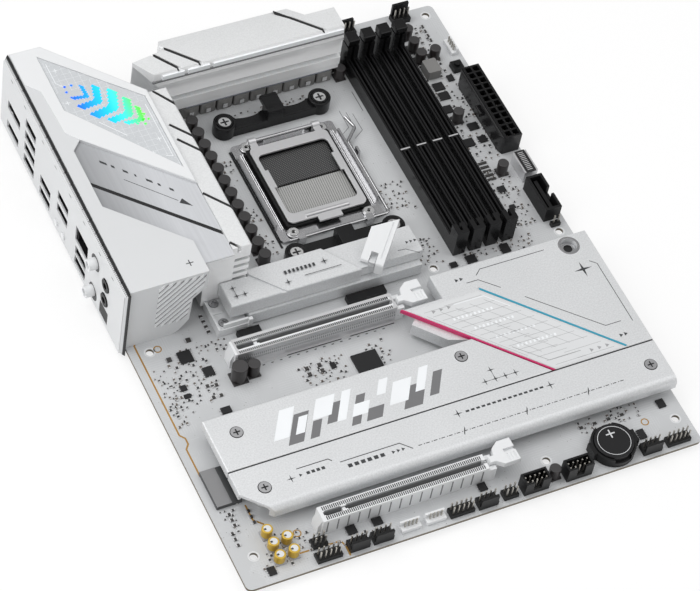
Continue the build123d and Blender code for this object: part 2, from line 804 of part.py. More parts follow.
def m2_heatsink():
    far_step, near_step = m2_step_x
    high = [
        (m2_heatsink_start_x, m2_front_y),
        (near_step, m2_front_y),
        (far_step, m2_rear_y),
        (vrm_left_x[1] + m2_corner_gap, m2_rear_y),
        (vrm_left_x[1] + m2_corner_gap, vrm_left_y[0] - m2_corner_gap),
        (m2_heatsink_start_x, vrm_left_y[0] - m2_corner_gap),
    ]
    low = [
        (near_step - 6.0, m2_low_front_y),
        (m2_heatsink_end_x, m2_low_front_y),
        (m2_heatsink_end_x, m2_rear_y),
        (far_step - 6.0, m2_rear_y),
    ]
    top_edge = 0.5
    body = prism(high, (m2_lift_from, m2_high_top))
    body = chamfer(body.faces().sort_by(Axis.Z)[-1].edges(), top_edge)
    body += prism(low, (m2_lift_from, m2_low_top))
    groove_z = (m2_high_top - m2_groove_depth, m2_high_top + 1)
    start, end = (m2_groove_x[0], m2_rear_y + 1), (m2_groove_x[1], m2_front_y - 1)
    body -= strip(start, end, m2_groove_width, groove_z)
    # Lug that carries the release lever's pin.
    lug = block((-1.6, 4.0), (-release_lug_half, release_lug_half), (-1.8, 1.5))
    lug -= rod_y(0, (-3, 3), 0, lever_pin_radius + hinge_running_clearance)
    return body + turned_lever(lug, 0)


def m2_release_lever():
    half = lever_width / 2
    z = (-1.2, lever_thickness - 1.2)
    outline = [(0, -half), (lever_length, -half), (lever_length - 8.0, half), (0, half)]
    arm = prism(outline, z) + rod_y(0, (-half, half), 0, 1.3)
    arm -= strip((3.0, -half + 2.0), (lever_length - 2.5, -half + 2.0), 0.8, (z[1] - 0.4, z[1] + 1))
    slot_half = release_lug_half + 0.35
    arm -= block((-2, 5.2), (-slot_half, slot_half), (-3, 4))
    arm += rod_y(0, (-half + 0.5, half - 0.5), 0, lever_pin_radius)
    lever = turned_lever(arm, lever_raise)
    nose = block((-1.2, 0.6), (-half, -slot_half), (-lever_nose_drop, 0.6))
    return lever + turned_lever(nose, 0)


def m2_base():
    x = (m2_bracket_x[1] + 1.0, m2_heatsink_end_x - 1.0)
    y = (m2_front_y - m2_ledge, m2_rear_y + 0.6)
    base = block(x, y, (m2_base_lift, m2_split_height))
    for post_x in (x[0] + 6.0, x[1] - 6.0):
        base += post(post_x, sum(y) / 2, (seated, m2_base_lift + 0.1), 3.0)
    return base


def m2_bracket():
    x, y = m2_bracket_x, m2_bracket_y
    shelf = block(x, y, (seated, m2_bracket_shelf))
    wall_outline = [
        (y[0], seated),
        (y[0] + 1.8, seated),
        (y[0] + 1.8, m2_bracket_height),
        (y[0] + 0.6, m2_bracket_height),
    ]
    wall = prism_x(wall_outline, (x[0] + 3.0, x[1]))
    rim = block((x[0], x[0] + 1.2), y, (seated, m2_bracket_shelf + 0.8))
    middle_y = around(sum(m2_bracket_screw_y) / 2, 1.6)
    middle = block((x[0], x[0] + 6.6), middle_y, (seated, m2_bracket_shelf + 0.8))
    clip_z = (2.0, m2_bracket_height + 0.3)
    clip = block((x[1] - 0.2, x[1] + 2.0), (y[0] - 0.6, y[0] + 1.2), clip_z)
    bracket = shelf + wall + rim + middle + clip
    for screw_y in m2_bracket_screw_y:
        sink_z = (m2_bracket_shelf - 1.0, m2_bracket_height + 1)
        bracket -= post(m2_bracket_screw_x, screw_y, sink_z, heatsink_screw_radius + 0.2)
    return bracket


def m2_sockets():
    spans = (
        ((54.0, 66.0), (131.6, 136.6)),
        ((114.0, 135.0), (133.8, 138.4)),
        ((30.0, 52.0), (57.6, 61.4)),
        ((board_depth - 39.84, board_depth - 17.84), (44.0, 48.6)),
    )
    return group([block(x, y, (seated, 3.4)) for x, y in spans])


cover_under = cover_top - cover_thickness
cover_front_x = board_depth
diagonal_start = (chipset_corner_x, chipset_step_y)
diagonal_slope = -56.1 / 59.0          # change in X for each millimetre in Y along the slanted edge


def diagonal_x(y):
    return diagonal_start[0] + (y - diagonal_start[1]) * diagonal_slope


upper_seam_y = cover_seam_y + cover_seam_gap / 2
lower_seam_y = cover_seam_y - cover_seam_gap / 2
upper_plate_screws = [(26.6, 76.2), (148.2, 79.6)]
lower_plate_screws = [(26.4, 43.0), (board_depth - 8.64, 43.0)]


def screwed(plate, places):
    for x, y in places:
        plate += post(x, y, (seated, cover_under + 0.1), cover_boss_radius)
        plate -= post(x, y, (cover_top - cover_screw_height, cover_top + 1), cover_screw_hole_radius)
    return plate


def m2_upper_plate():
    gap = chipset_gap + chipset_trim_width
    outline = [
        (cover_rear_x, upper_seam_y),
        (diagonal_x(upper_seam_y) - gap, upper_seam_y),
        (diagonal_x(cover_back_y) - gap, cover_back_y),
        (cover_rear_x, cover_back_y),
    ]
    plate = prism(outline, (cover_under, cover_top))
    plate = chamfer(plate.faces().sort_by(Axis.Z)[-1].edges(), 0.4)
    rear_x = (cover_rear_x, cover_rear_x + cover_side_wall)
    plate += block(rear_x, (upper_seam_y, cover_back_y), (cover_top - cover_skirt, cover_under + 0.1))
    return screwed(plate, upper_plate_screws)


def m2_lower_plate():
    radius = cover_edge_radius
    arc_middle = radius * (1 - cos(radians(45)))
    low = cover_top - cover_skirt - 2.0
    section = make_face(
        Polyline((lower_seam_y, cover_under), (lower_seam_y, cover_top), (cover_front_y + radius, cover_top))
        + ThreePointArc(
            (cover_front_y + radius, cover_top),
            (cover_front_y + arc_middle, cover_top - arc_middle),
            (cover_front_y, cover_top - radius),
        )
        + Polyline(
            (cover_front_y, cover_top - radius),
            (cover_front_y, low),
            (cover_front_y + cover_thickness, low),
            (cover_front_y + cover_thickness, cover_under - 1.0),
            (cover_front_y + cover_thickness + 1.0, cover_under),
            (lower_seam_y, cover_under),
        )
    )
    plate = extrude(Pos(cover_rear_x, 0, 0) * (Plane.YZ * section), cover_front_x - cover_rear_x)
    cut_x, cut_y = cover_front_chamfer
    corner = [
        (cover_rear_x - 1, cover_front_y - 1),
        (cover_rear_x + cut_x, cover_front_y - 1),
        (cover_rear_x + cut_x, cover_front_y),
        (cover_rear_x, cover_front_y + cut_y),
        (cover_rear_x - 1, cover_front_y + cut_y),
    ]
    plate -= prism(corner, (0, cover_top + 1))
    side_y = (cover_front_y + cut_y, lower_seam_y)
    rear_x = (cover_rear_x, cover_rear_x + cover_side_wall)
    plate += block(rear_x, side_y, (cover_top - cover_skirt, cover_under + 0.1))
    return screwed(plate, lower_plate_screws)


def chipset_heatsink():
    start_y, seam_y = chipset_step_y, upper_seam_y
    outline = [
        (diagonal_x(seam_y), seam_y),
        (cover_front_x, seam_y),
        (cover_front_x, chipset_cover_back_y),
        (chipset_step_x, chipset_cover_back_y),
        (chipset_step_x, start_y),
        (diagonal_x(start_y), start_y),
    ]
    plate = prism(outline, (cover_under, cover_top))
    plate = chamfer(plate.faces().sort_by(Axis.Z)[-1].edges(), 0.4)
    base = [
        (134.5, 106.5),
        (141.5, 112.5),
        (168.0, 112.5),
        (212.0, 66.0),
        (186.0, 62.0),
        (diagonal_x(cover_back_y) - 1.0, cover_back_y + 0.6),
        (147.5, 92.0),
    ]
    plate += prism(base, (2.4, cover_under + 0.1))
    step_wall = (chipset_step_x, chipset_step_x + cover_side_wall)
    plate += block(step_wall, (start_y, chipset_cover_back_y), (4.0, cover_under + 0.1))
    plate += post(chipset_well_x, chipset_well_y, (seated, cover_top - 0.5), chipset_well_radius + 1.4)
    plate -= post(chipset_well_x, chipset_well_y, (5.0, cover_top + 1), chipset_well_radius)
    start, end = second_strip_line(0.6)
    plate -= strip(start, end, chipset_strip_width + 0.2, (cover_top - chipset_strip_depth, cover_top + 1))
    return plate


def second_strip_line(margin):
    """Ends of the second colour strip, each this far along Y inside the cover's edges."""
    ends = (chipset_step_y - margin, upper_seam_y + margin)
    return [(diagonal_x(y) + chipset_strip_offset, y) for y in ends]


def chipset_trim():
    start_y, seam_y = chipset_step_y, upper_seam_y
    shift = chipset_gap / 2
    edge = [
        (diagonal_x(seam_y) - shift - chipset_trim_width, seam_y),
        (diagonal_x(seam_y) - shift, seam_y),
        (diagonal_x(start_y) - shift, start_y),
        (diagonal_x(start_y) - shift - chipset_trim_width, start_y),
    ]
    first = prism(edge, (cover_under + 0.2, cover_top + 0.15))
    start, end = second_strip_line(1.0)
    top = cover_top + 0.1
    second = strip(start, end, chipset_strip_width, (cover_top - chipset_strip_depth + 0.02, top))
    return group([first, second])


def recessed_screw(x, y, top, radius, height, depth):
    head = post(x, y, (top - height, top), radius)
    for turn in (0, 90):
        head -= Pos(x, y, top) * Rot(0, 0, turn) * Box(radius * 1.15, 0.8, height)
    return head + post(x, y, (top - height - depth, top - height), radius * 0.4)


def cover_screws():
    """Screws that hold the covers, the storage bracket and the chipset plate."""
    screws = []
    for x, y in upper_plate_screws + lower_plate_screws:
        top, height = cover_top + 0.1, cover_screw_height + 0.05
        screws.append(recessed_screw(x, y, top, cover_screw_radius, height, 0.02))
    for y in m2_bracket_screw_y:
        top = m2_bracket_shelf + 0.4
        screws.append(recessed_screw(m2_bracket_screw_x, y, top, heatsink_screw_radius, 1.35, 0.02))
    screws.append(recessed_screw(chipset_well_x, chipset_well_y, 6.6, chipset_well_radius - 1.0, 1.5, 0.08))
    return screws


# ---- Rear panel -------------------------------------------------------------------------------
usb_opening = (13.4, 6.0)
usb_cavity = (12.6, 5.2)
usb_depth = 10.0
usb_body_width = 14.8
usb_body_depth = 16.5
usb_columns = [
    (266.8, (4.2, 13.0, 21.8, 30.6)),
    (245.0, (3.5, 11.8)),
    (223.0, (15.6, 24.6)),
    (198.2, (3.5, 10.8)),
]
hdmi_centre, hdmi_size = (289.0, 4.6), (15.2, 5.8)
dp_centre, dp_size = (288.6, 19.2), (16.4, 6.0)
lan_centre, lan_size = (198.2, 22.6), (15.4, 10.6)
audio_jack_y = 167.6
audio_jack_heights = (15.4, 26.4)
audio_jack_radius = 4.0
audio_bore_radius = 1.8
optical_span = (0.6, 9.6)
rear_buttons = {"flashback_button": (219.6, 3.2), "clear_button": (228.8, 3.2)}
rear_button_radius = 1.9
rear_button_hole_clearance = 0.15
rear_button_travel = 0.5


def window_in_panel(y, z):
    return block((shield_face_x - 1, shield_face_x + shield_thickness + 1), y, z)


def io_shield():
    back = shield_face_x + shield_thickness
    plate = block((shield_face_x, back), shield_y, shield_z)
    flared_y = (shield_y[0] - shield_flange_flare, shield_y[1] + shield_flange_flare)
    flared_z = (shield_z[0] - shield_flange_flare, shield_z[1] + shield_flange_flare)
    start, end = back - 0.3, back + shield_flange_depth

    def section(x, inset):
        far = x > back
        y, z = (flared_y, flared_z) if far else (shield_y, shield_z)
        plane = Plane(
            origin=(x, sum(y) / 2, sum(z) / 2), x_dir=(0, 1, 0), z_dir=(1, 0, 0)
        )
        return plane * Rectangle(y[1] - y[0] - 2 * inset, z[1] - z[0] - 2 * inset)

    outer = loft([section(start, 0), section(end, 0)])
    inner = loft([section(start, shield_flange_thickness), section(end, shield_flange_thickness)])
    plate += outer - inner
    # The flange is cut into spring fingers along its two long sides.
    count = int((shield_y[1] - shield_y[0]) / shield_finger_pitch) - 1
    slits = []
    for index in range(count):
        slit = around(shield_y[0] + (index + 1) * shield_finger_pitch, 0.5)
        for low in (flared_z[0] - 1, shield_z[1] + 0.3):
            slits.append(block((back + 0.3, end + 1), slit, (low, low + shield_flange_flare + 0.7)))
    plate -= slits
    for y, heights in usb_columns:
        for z in heights:
            plate -= window_in_panel(around(y, usb_opening[0]), around(z, usb_opening[1]))
    plate -= window_in_panel(around(hdmi_centre[0], hdmi_size[0]), around(hdmi_centre[1], hdmi_size[1]))
    plate -= window_in_panel(around(dp_centre[0], dp_size[0]), around(dp_centre[1], dp_size[1]))
    plate -= window_in_panel(around(lan_centre[0], lan_size[0]), around(lan_centre[1], lan_size[1]))
    plate -= window_in_panel(around(audio_jack_y, 10.0), optical_span)
    through = (shield_face_x - 1, back + 1)
    for z in audio_jack_heights:
        plate -= rod_x(through, audio_jack_y, z, audio_jack_radius)
    for y, z in antenna_places:
        plate -= rod_x(through, y, z, antenna_radius + 1.1)
    for y, z in rear_buttons.values():
        plate -= rod_x(through, y, z, rear_button_radius + rear_button_hole_clearance)
    return plate


def rear_ports():
    ports = []
    x = (port_front_x, port_front_x + usb_body_depth)
    for y, heights in usb_columns:
        stands_on = heights[0] - usb_opening[1] / 2 - 0.4
        bottom = seated if stands_on < 3 else stands_on
        body = block(x, around(y, usb_body_width), (bottom, heights[-1] + usb_opening[1] / 2 + 0.4))
        for z in heights:
            cavity = (x[0] - 1, x[0] + usb_depth)
            body -= block(cavity, around(y, usb_cavity[0]), around(z, usb_cavity[1]))
        if bottom > seated:
            body += block((x[0] + 1.0, x[1]), around(y, usb_body_width), (seated + 6.0, bottom + 0.1))
            body += block((x[0] + 8.0, x[1]), around(y, usb_body_width), (seated, seated + 6.1))
        ports.append(body)
    for centre, size in ((hdmi_centre, hdmi_size), (dp_centre, dp_size)):
        low = centre[1] - size[1] / 2 - 0.6
        outer = block(x, around(centre[0], size[0] + 1.0), (low, centre[1] + size[1] / 2 + 0.6))
        cavity = (x[0] - 1, x[0] + usb_depth)
        outer -= block(cavity, around(centre[0], size[0] - 0.8), around(centre[1], size[1] - 0.8))
        ports.append(outer)
    # Pedestals under the two video connectors.
    hdmi_top = hdmi_centre[1] + hdmi_size[1] / 2 + 0.6
    dp_low = dp_centre[1] - dp_size[1] / 2 - 0.6
    hdmi_low = hdmi_centre[1] - hdmi_size[1] / 2 - 0.6
    ports[-2] += block((x[0] + 2, x[1]), around(hdmi_centre[0], 15.0), (seated, hdmi_low + 0.1))
    ports[-1] += block((x[0] + 2, x[1]), around(dp_centre[0], 15.0), (hdmi_top + 0.05, dp_low + 0.1))
    return group(ports)


def port_tongues():
    tongues = []
    x = (port_front_x + 1.2, port_front_x + usb_depth)
    for y, heights in usb_columns:
        for z in heights:
            tongues.append(block(x, around(y, 11.0), (z + 0.1, z + 1.9)))
    tongues.append(block(x, around(hdmi_centre[0], 10.6), around(hdmi_centre[1] - 0.3, 1.4)))
    tongues.append(block(x, around(dp_centre[0], 11.0), around(dp_centre[1] + 0.3, 1.4)))
    return group(tongues)


def ethernet_jack():
    x = (port_front_x, port_front_x + 18.0)
    low = usb_columns[3][1][-1] + usb_opening[1] / 2 + 0.45
    top = lan_centre[1] + lan_size[1] / 2 + 0.8
    body = block(x, around(lan_centre[0], usb_body_width + 1.4), (low, top))
    cavity_x = (x[0] - 1, x[0] + 12.0)
    plug_low, plug_high = lan_centre[1] - lan_size[1] / 2 + 0.4, lan_centre[1] + 2.6
    body -= block(cavity_x, around(lan_centre[0], 12.0), (plug_low, plug_high))
    body -= block(cavity_x, around(lan_centre[0], 6.4), (plug_high - 0.1, plug_high + 1.8))
    return body


def audio_jacks():
    x = (port_front_x, port_front_x + 13.0)
    body = block(x, around(audio_jack_y, 13.0), (seated, audio_jack_heights[1] + 5.0))
    for z in audio_jack_heights:
        barrel = (shield_face_x - 0.6, port_front_x + 0.1)
        body += rod_x(barrel, audio_jack_y, z, audio_jack_radius - 0.3)
    door_z = (optical_span[0] + 0.2, optical_span[1] - 0.2)
    body += block((shield_face_x + 0.2, port_front_x + 0.1), around(audio_jack_y, 9.6), door_z)
    for z in audio_jack_heights:
        bore = (shield_face_x - 2, port_front_x + 12.0)
        body -= rod_x(bore, audio_jack_y, z, audio_bore_radius)
    return body


def antenna_connectors():
    sockets = []
    mean_y = sum(y for y, z in antenna_places) / len(antenna_places)
    top = antenna_places[0][1] + 5.0
    body = block((port_front_x, port_front_x + 7.0), around(mean_y, 10.6), (seated, top))
    for y, z in antenna_places:
        reach = (shield_face_x - antenna_reach, port_front_x + 0.1)
        body += rod_x(reach, y, z, antenna_radius)
        body -= rod_x((reach[0] - 1, reach[0] + 3.2), y, z, antenna_radius - 1.0)
        body += rod_x((reach[0] + 0.6, reach[0] + 3.3), y, z, 0.5)
    sockets.append(body)
    return group(sockets)


def rear_button(name):
    y, z = rear_buttons[name]
    cap = rod_x((shield_face_x - 0.7, port_front_x + 2.0), y, z, rear_button_radius)
    return cap


def switch_bodies():
    """The two switches behind the rear buttons and the one under the start button."""
    bodies = []
    for y, z in rear_buttons.values():
        front = port_front_x + 2.0 + rear_button_travel + 0.15
        bodies.append(block((front, front + 3.6), around(y, 5.6), (seated, z + 2.7)))
    x, y = around(start_button_x, switch_size), around(start_button_y, switch_size)
    body = block(x, y, (seated, switch_height))
    bore = switch_plunger_radius + switch_clearance
    body -= post(start_button_x, start_button_y, (1.2, switch_height + 1), bore)
    bodies.append(body)
    return group(bodies)


def start_button():
    rise = (1.2 + switch_travel + 0.2, switch_height + switch_plunger_height)
    return post(start_button_x, start_button_y, rise, switch_plunger_radius)


# ---- Rear-panel shroud and its window ---------------------------------------------------------
shroud_roof_bottom = shroud_top - shroud_panel_drop - 1.0
window_outline = [(12.6, 264.0), (54.0, 212.0), (54.0, 260.0), (12.6, 301.0)]


def io_shroud():
    near, far = shroud_y
    set_back = near + shroud_near_set_back
    roof_outline = [
        (shroud_rear_x, near),
        (shroud_near_x, near),
        (shroud_near_x, set_back),
        (shroud_front_x, set_back),
        (shroud_front_x, shroud_far_diagonal_y),
        (shroud_far_corner_x, far),
        (shroud_rear_x, far),
    ]
    shroud = prism(roof_outline, (shroud_roof_bottom, shroud_top))
    panel = [
        (7.2, 238.4),
        (12.6, 244.0),
        (shroud_front_x + 1, 199.0),
        (shroud_front_x + 1, set_back - 1),
        (shroud_near_x, set_back - 1),
        (shroud_near_x, 167.2),
        (7.2, 201.2),
    ]
    shroud -= prism(panel, (shroud_top - shroud_panel_drop, shroud_top + 1))
    slot_z = (shroud_top - shroud_panel_drop - 0.5, shroud_top + 1)
    slot = strip((5.0, 219.5), (58.0, 166.5), shroud_slot_width, slot_z)
    shroud -= slot & prism(panel, (0, shroud_top + 2))
    near_wall = [
        (shroud_rear_x, seated),
        (25.0, seated),
        (28.0, 2.0),
        (33.0, 8.5),
        (33.6, 24.5),
        (40.0, 31.0),
        (shroud_near_x, shroud_top - 0.2),
        (shroud_rear_x, shroud_top - 0.2),
    ]
    shroud += prism_y(near_wall, (near, near + shroud_wall))
    rear_edge = (shroud_rear_x, shroud_rear_x + shroud_wall)
    shroud += block(rear_edge, shroud_y, (shroud_skirt_bottom + 1.4, shroud_roof_bottom + 0.1))
    step_x = (shroud_near_x - shroud_wall, shroud_near_x)
    shroud += block(step_x, (near, set_back + shroud_wall), (31.0, shroud_roof_bottom + 0.1))
    end_wall = (shroud_rear_x, shroud_far_corner_x)
    shroud += block(end_wall, (far - shroud_wall, far), (1.0, shroud_roof_bottom + 0.1))
    diagonal = strip(
        (shroud_far_corner_x - 0.6, far - 1.2),
        (shroud_front_x - 2.4, shroud_far_diagonal_y + 1.0),
        shroud_wall,
        (14.0, shroud_roof_bottom + 0.1),
    )
    shroud += diagonal
    opening = face_of(window_outline)
    seat_z = shroud_top - window_thickness - window_gap
    shroud -= extrude(Pos(0, 0, seat_z) * offset(opening, window_gap, kind=Kind.INTERSECTION), 10)
    shroud -= extrude(Pos(0, 0, 20) * offset(opening, -window_lip, kind=Kind.INTERSECTION), 40)
    return shroud


def shroud_window():
    bottom = shroud_top - window_thickness - 0.05
    return prism(window_outline, (bottom, bottom + window_thickness))


# ---- Voltage-regulator heatsinks --------------------------------------------------------------
def vrm_heatsink_left():
    ridge_x = shroud_front_x + 0.4
    flat_top = shroud_roof_bottom - 0.1
    z = (vrm_left_bottom, flat_top)
    body = block((vrm_left_x[0], ridge_x), vrm_left_y, z)
    ridge = block((ridge_x, vrm_left_x[1]), vrm_left_y, (z[0], vrm_left_top + 0.5))
    ridge = chamfer(ridge.edges().filter_by(Axis.Y).sort_by(Axis.Z)[-2:].sort_by(Axis.X)[-1], 0.7)
    body += ridge
    slots = (
        ((57.2, 194.0), (67.8, 180.5)),
        ((57.2, 161.5), (67.8, 148.5)),
        ((58.8, 240.0), (67.8, 228.5)),
        ((58.8, 230.0), (67.8, 218.5)),
        ((59.6, 263.0), (67.8, 250.5)),
    )
    for start, end in slots:
        body -= strip(start, end, 1.6, (vrm_left_top - 3.4, vrm_left_top + 2))
    for level in range(4):
        low = 16.0 + level * 5.0
        body -= block((59.0, 70.0), (vrm_left_y[0] - 1, vrm_left_y[0] + 14.0), (low, low + 2.2))
    # Relief over the inductors on the board side.
    body -= block((55.0, vrm_left_x[1] + 1), (vrm_left_y[0] - 1, vrm_left_y[1] + 1), (0, vrm_top_base))
    return body


def vrm_heatsink_top():
    front, back = vrm_top_y
    top, base = vrm_top_top, vrm_top_base
    leg = vrm_top_leg_y
    outline = [
        (front + 0.8, base),
        (front + 0.8, base + 3.0),
        (front, base + 3.6),
        (front, base + 9.0),
        (front + 2.6, base + 9.6),
        (front + 2.6, base + 11.6),
        (front + 0.4, base + 12.4),
        (front + 1.8, base + 16.0),
        (front + 2.0, base + 19.0),
        (front + 0.4, base + 22.8),
        (front, base + 23.8),
        (front + 1.0, base + 28.4),
        (front + 1.0, top - 1.6),
        (front + 1.6, top),
        (front + 14.6, top),
        (back, top - 1.2),
        (back, vrm_top_overhang),
        (leg[1], vrm_top_overhang),
        (leg[1], vrm_left_bottom),
        (leg[0], vrm_left_bottom),
        (leg[0], base),
    ]
    body = prism_x(outline, vrm_top_x)
    left, right = vrm_top_x
    plan = [
        (left, front + 12.4),
        (left + 8.6, front - 1),
        (right, front - 1),
        (right, front + 14.8),
        (right - 16.8, front + 14.8),
        (right - 24.6, back + 1),
        (left + 18.6, back + 1),
        (left + 17.2, front + 15.6),
        (left + 10.6, front + 14.2),
    ]
    body &= prism(plan, (0, top + 1))
    # The left end leans away from the top edge.
    lean = [
        (left - 1, -1),
        (left + 20.0, -1),
        (left + 20.0, base + 2.0),
        (left + 8.4, top - 7.0),
        (left - 1, top - 2.0),
    ]
    body -= prism_y(lean, (front - 2, front + 12.0))
    for (x0, along0), (x1, along1) in vrm_top_grooves:
        start, end = (x0, front + along0), (x1, front + along1)
        body -= strip(start, end, vrm_groove_width, (top - vrm_groove_depth, top + 1))
    return body


def thermal_pads():
    pad_z = (seated + stage_height + 0.02, vrm_left_bottom - 0.02)
    pads = [block((44.5, 54.0), (vrm_left_y[0] + 6, vrm_left_y[1] - 6), pad_z)]
    x = (vrm_top_x[0] + 24.0, vrm_top_x[1] - 28.0)
    y = (vrm_top_leg_y[0] + 0.6, vrm_top_leg_y[1] - 0.6)
    pads.append(block(x, y, pad_z))
    row_y = (choke_front_y + 0.6, choke_front_y + choke_size[1] - 0.6)
    row_x = (choke_first_x - 3.0, choke_first_x + (choke_count - 1) * choke_pitch + 3.0)
    pads.append(block(row_x, row_y, (seated + choke_size[2] + 0.02, vrm_top_base - 0.02)))
    return group(pads)


def power_stages():
    """Flat switching chips under both voltage-regulator heatsinks."""
    stages = []
    stage_z = (seated, seated + stage_height)
    for index in range(choke_count):
        x = choke_first_x + index * choke_pitch
        if x < vrm_top_x[1] - 26.0:
            y = (vrm_top_leg_y[0] + 0.8, vrm_top_leg_y[1] - 0.8)
            stages.append(block(around(x, 5.6), y, stage_z))
    for index in range(8):
        y = vrm_left_y[0] + 12.0 + index * 11.0
        stages.append(block((45.4, 53.2), around(y, 6.0), stage_z))
    return stages


def chokes():
    wide, deep, tall = choke_size
    cores = []
    for index in range(choke_count):
        x = around(choke_first_x + index * choke_pitch, wide)
        core = block(x, (choke_front_y, choke_front_y + deep), (seated, seated + tall))
        cores.append(chamfer(core.edges().filter_by(Axis.Z), 0.6))
    for index in range(8):
        y = around(vrm_left_y[0] + 12.0 + index * 11.0, wide)
        core = block((56.5, 56.5 + deep), y, (seated, seated + tall))
        cores.append(chamfer(core.edges().filter_by(Axis.Z), 0.6))
    memory = block((217.8, 225.6), (255.6, 265.0), (seated, seated + 6.2))
    cores.append(chamfer(memory.edges().filter_by(Axis.Z), 0.6))
    return group(cores)


def heatsink_screws():
    """The cover screws, and those from the board's underside into the two heatsinks."""
    leg_y = sum(vrm_top_leg_y) / 2
    places = [(49.0, vrm_left_y[0] + 4.0), (49.0, vrm_left_y[1] - 4.0), (84.0, leg_y), (140.0, leg_y)]
    heads = []
    for x, y in places:
        heads.append(post(x, y, (under - heatsink_screw_head, under), heatsink_screw_radius))
    return group(heads + cover_screws())


# ---- Power and header connectors --------------------------------------------------------------
atx_x = (board_depth - atx_from_front - atx_size[0], board_depth - atx_from_front)
atx_y = around(atx_centre_y, atx_size[1])
eps_y = (board_length - eps_from_edge - eps_size[1], board_length - eps_from_edge)


def cell_centres(count, centre):
    """Centres of a row of connector cells about a middle."""
    first = centre - (count - 1) / 2 * power_cell_pitch
    return [first + n * power_cell_pitch for n in range(count)]


atx_cells = [
    (x, y) for x in cell_centres(2, sum(atx_x) / 2) for y in cell_centres(12, atx_centre_y)
]
eps_cells = [
    (x, y)
    for centre in eps_centre_x
    for x in cell_centres(4, centre)
    for y in cell_centres(2, sum(eps_y) / 2)
]


def drilled(body, cells, top):
    wells = [
        block(around(x, power_cell_size), around(y, power_cell_size), (top - power_cell_depth, top + 1))
        for x, y in cells
    ]
    return body - wells


def atx_power_connector():
    body = block(atx_x, atx_y, (seated, atx_size[2]))
    latch_y = around(atx_centre_y, 6.0)
    latch_z = (atx_size[2] - 7.0, atx_size[2] - 4.6)
    body += block((atx_x[0] - atx_latch_depth, atx_x[0] + 0.1), latch_y, latch_z)
    shoulder = [
        (atx_x[0], atx_y[0]),
        (atx_x[0], atx_y[1]),
        (atx_x[0] - 1.2, atx_y[1] - 3.0),
        (atx_x[0] - 1.2, atx_y[0] + 3.0),
    ]
    body += prism(shoulder, (seated, atx_size[2] - 1.0))
    return drilled(body, atx_cells, atx_size[2])


def cpu_power_connectors():
    bodies = []
    for centre in eps_centre_x:
        body = block(around(centre, eps_size[0]), eps_y, (seated, eps_size[2]))
        cells = [cell for cell in eps_cells if abs(cell[0] - centre) < eps_size[0] / 2]
        bodies.append(drilled(body, cells, eps_size[2]))
    return group(bodies)


# Each open pin header: rear corner (x, y), columns along X, rows along Y.
pin_headers = [
    ((36.6, 1.8), 5, 2),
    ((37.6, 9.6), 3, 2),
    ((106.4, 2.4), 5, 2),
    ((135.2, 2.6), 3, 2),
    ((225.4, 2.2), 5, 2),
    ((234.6, 144.2), 2, 1),
]
# Each walled box header: X span, Y span, height, columns along X, rows along Y.
box_headers = [
    ((145.4, 158.8), (1.8, 8.8), 9.2, 5, 2),
    ((168.6, 182.4), (1.8, 8.8), 9.2, 5, 2),
]
# Fan headers: rear corner, number of pins, whether the guide wall is on the high-Y side, wall height.
fan_headers = [
    ((53.4, 2.0), 4, False, 7.6),
    ((65.8, 2.0), 4, False, 7.6),
    ((121.4, 2.0), 4, False, 7.6),
    ((211.6, 2.0), 4, False, 7.6),
    ((187.6, board_length - 7.4), 3, True, 8.6),
    ((217.4, board_length - 7.6), 4, True, 11.0),
]
fan_header_depth = 5.8
fan_wall = 1.4
fan_wall_inset = 0.4
fan_pin_height = 9.6
fan_base_height = 3.2
box_wall = 1.0
box_floor = 2.0
usb3_x = (232.4, 241.4)
usb3_y = (149.0, 172.4)
usb3_height = 9.6
usb_c_x = (234.2, 241.8)
usb_c_y = (176.2, 190.4)
usb_c_height = 7.8


def row_spots(corner, columns, rows):
    return [
        (corner[0] + (column + 0.5) * header_pitch, corner[1] + (row + 0.5) * header_pitch)
        for column in range(columns)
        for row in range(rows)
    ]


def header_blocks():
    blocks = []
    for corner, columns, rows in pin_headers:
        x = (corner[0], corner[0] + columns * header_pitch)
        y = (corner[1], corner[1] + rows * header_pitch)
        blocks.append(block(x, y, (seated, header_base_height)))
    for x, y, height, columns, rows in box_headers:
        shell = block(x, y, (seated, height))
        inner_x, inner_y = (x[0] + box_wall, x[1] - box_wall), (y[0] + box_wall, y[1] - box_wall)
        shell -= block(inner_x, inner_y, (box_floor, height + 1))
        notch = around(sum(x) / 2, 4.4)
        blocks.append(shell - block(notch, (y[0] - 1, y[0] + box_wall + 0.1), (3.0, height + 1)))
    for corner, pins, wall_high, wall_height in fan_headers:
        x = (corner[0], corner[0] + pins * header_pitch)
        y = (corner[1], corner[1] + fan_header_depth)
        body = block(x, y, (seated, fan_base_height))
        wall_y = (y[1] - fan_wall, y[1]) if wall_high else (y[0], y[0] + fan_wall)
        body += block((x[0] + fan_wall_inset, x[1] - fan_wall_inset), wall_y, (seated, wall_height))
        blocks.append(body)
    blocks.append(usb3_header())
    return group(blocks)


def usb3_header():
    body = block(usb3_x, usb3_y, (seated, usb3_height))
    inner_x = (usb3_x[0] + 1.4, usb3_x[1] - 1.4)
    inner_y = (usb3_y[0] + 1.4, usb3_y[1] - 1.4)
    body -= block(inner_x, inner_y, (box_floor, usb3_height + 1))
    tongue_y = (inner_y[0] + 1.0, inner_y[1] - 1.0)
    body += block(around(sum(usb3_x) / 2, 2.0), tongue_y, (box_floor - 0.1, usb3_height - 2.2))
    notch = around(sum(usb3_y) / 2, 4.6)
    return body - block((inner_x[1] - 0.1, usb3_x[1] + 1), notch, (4.0, usb3_height + 1))


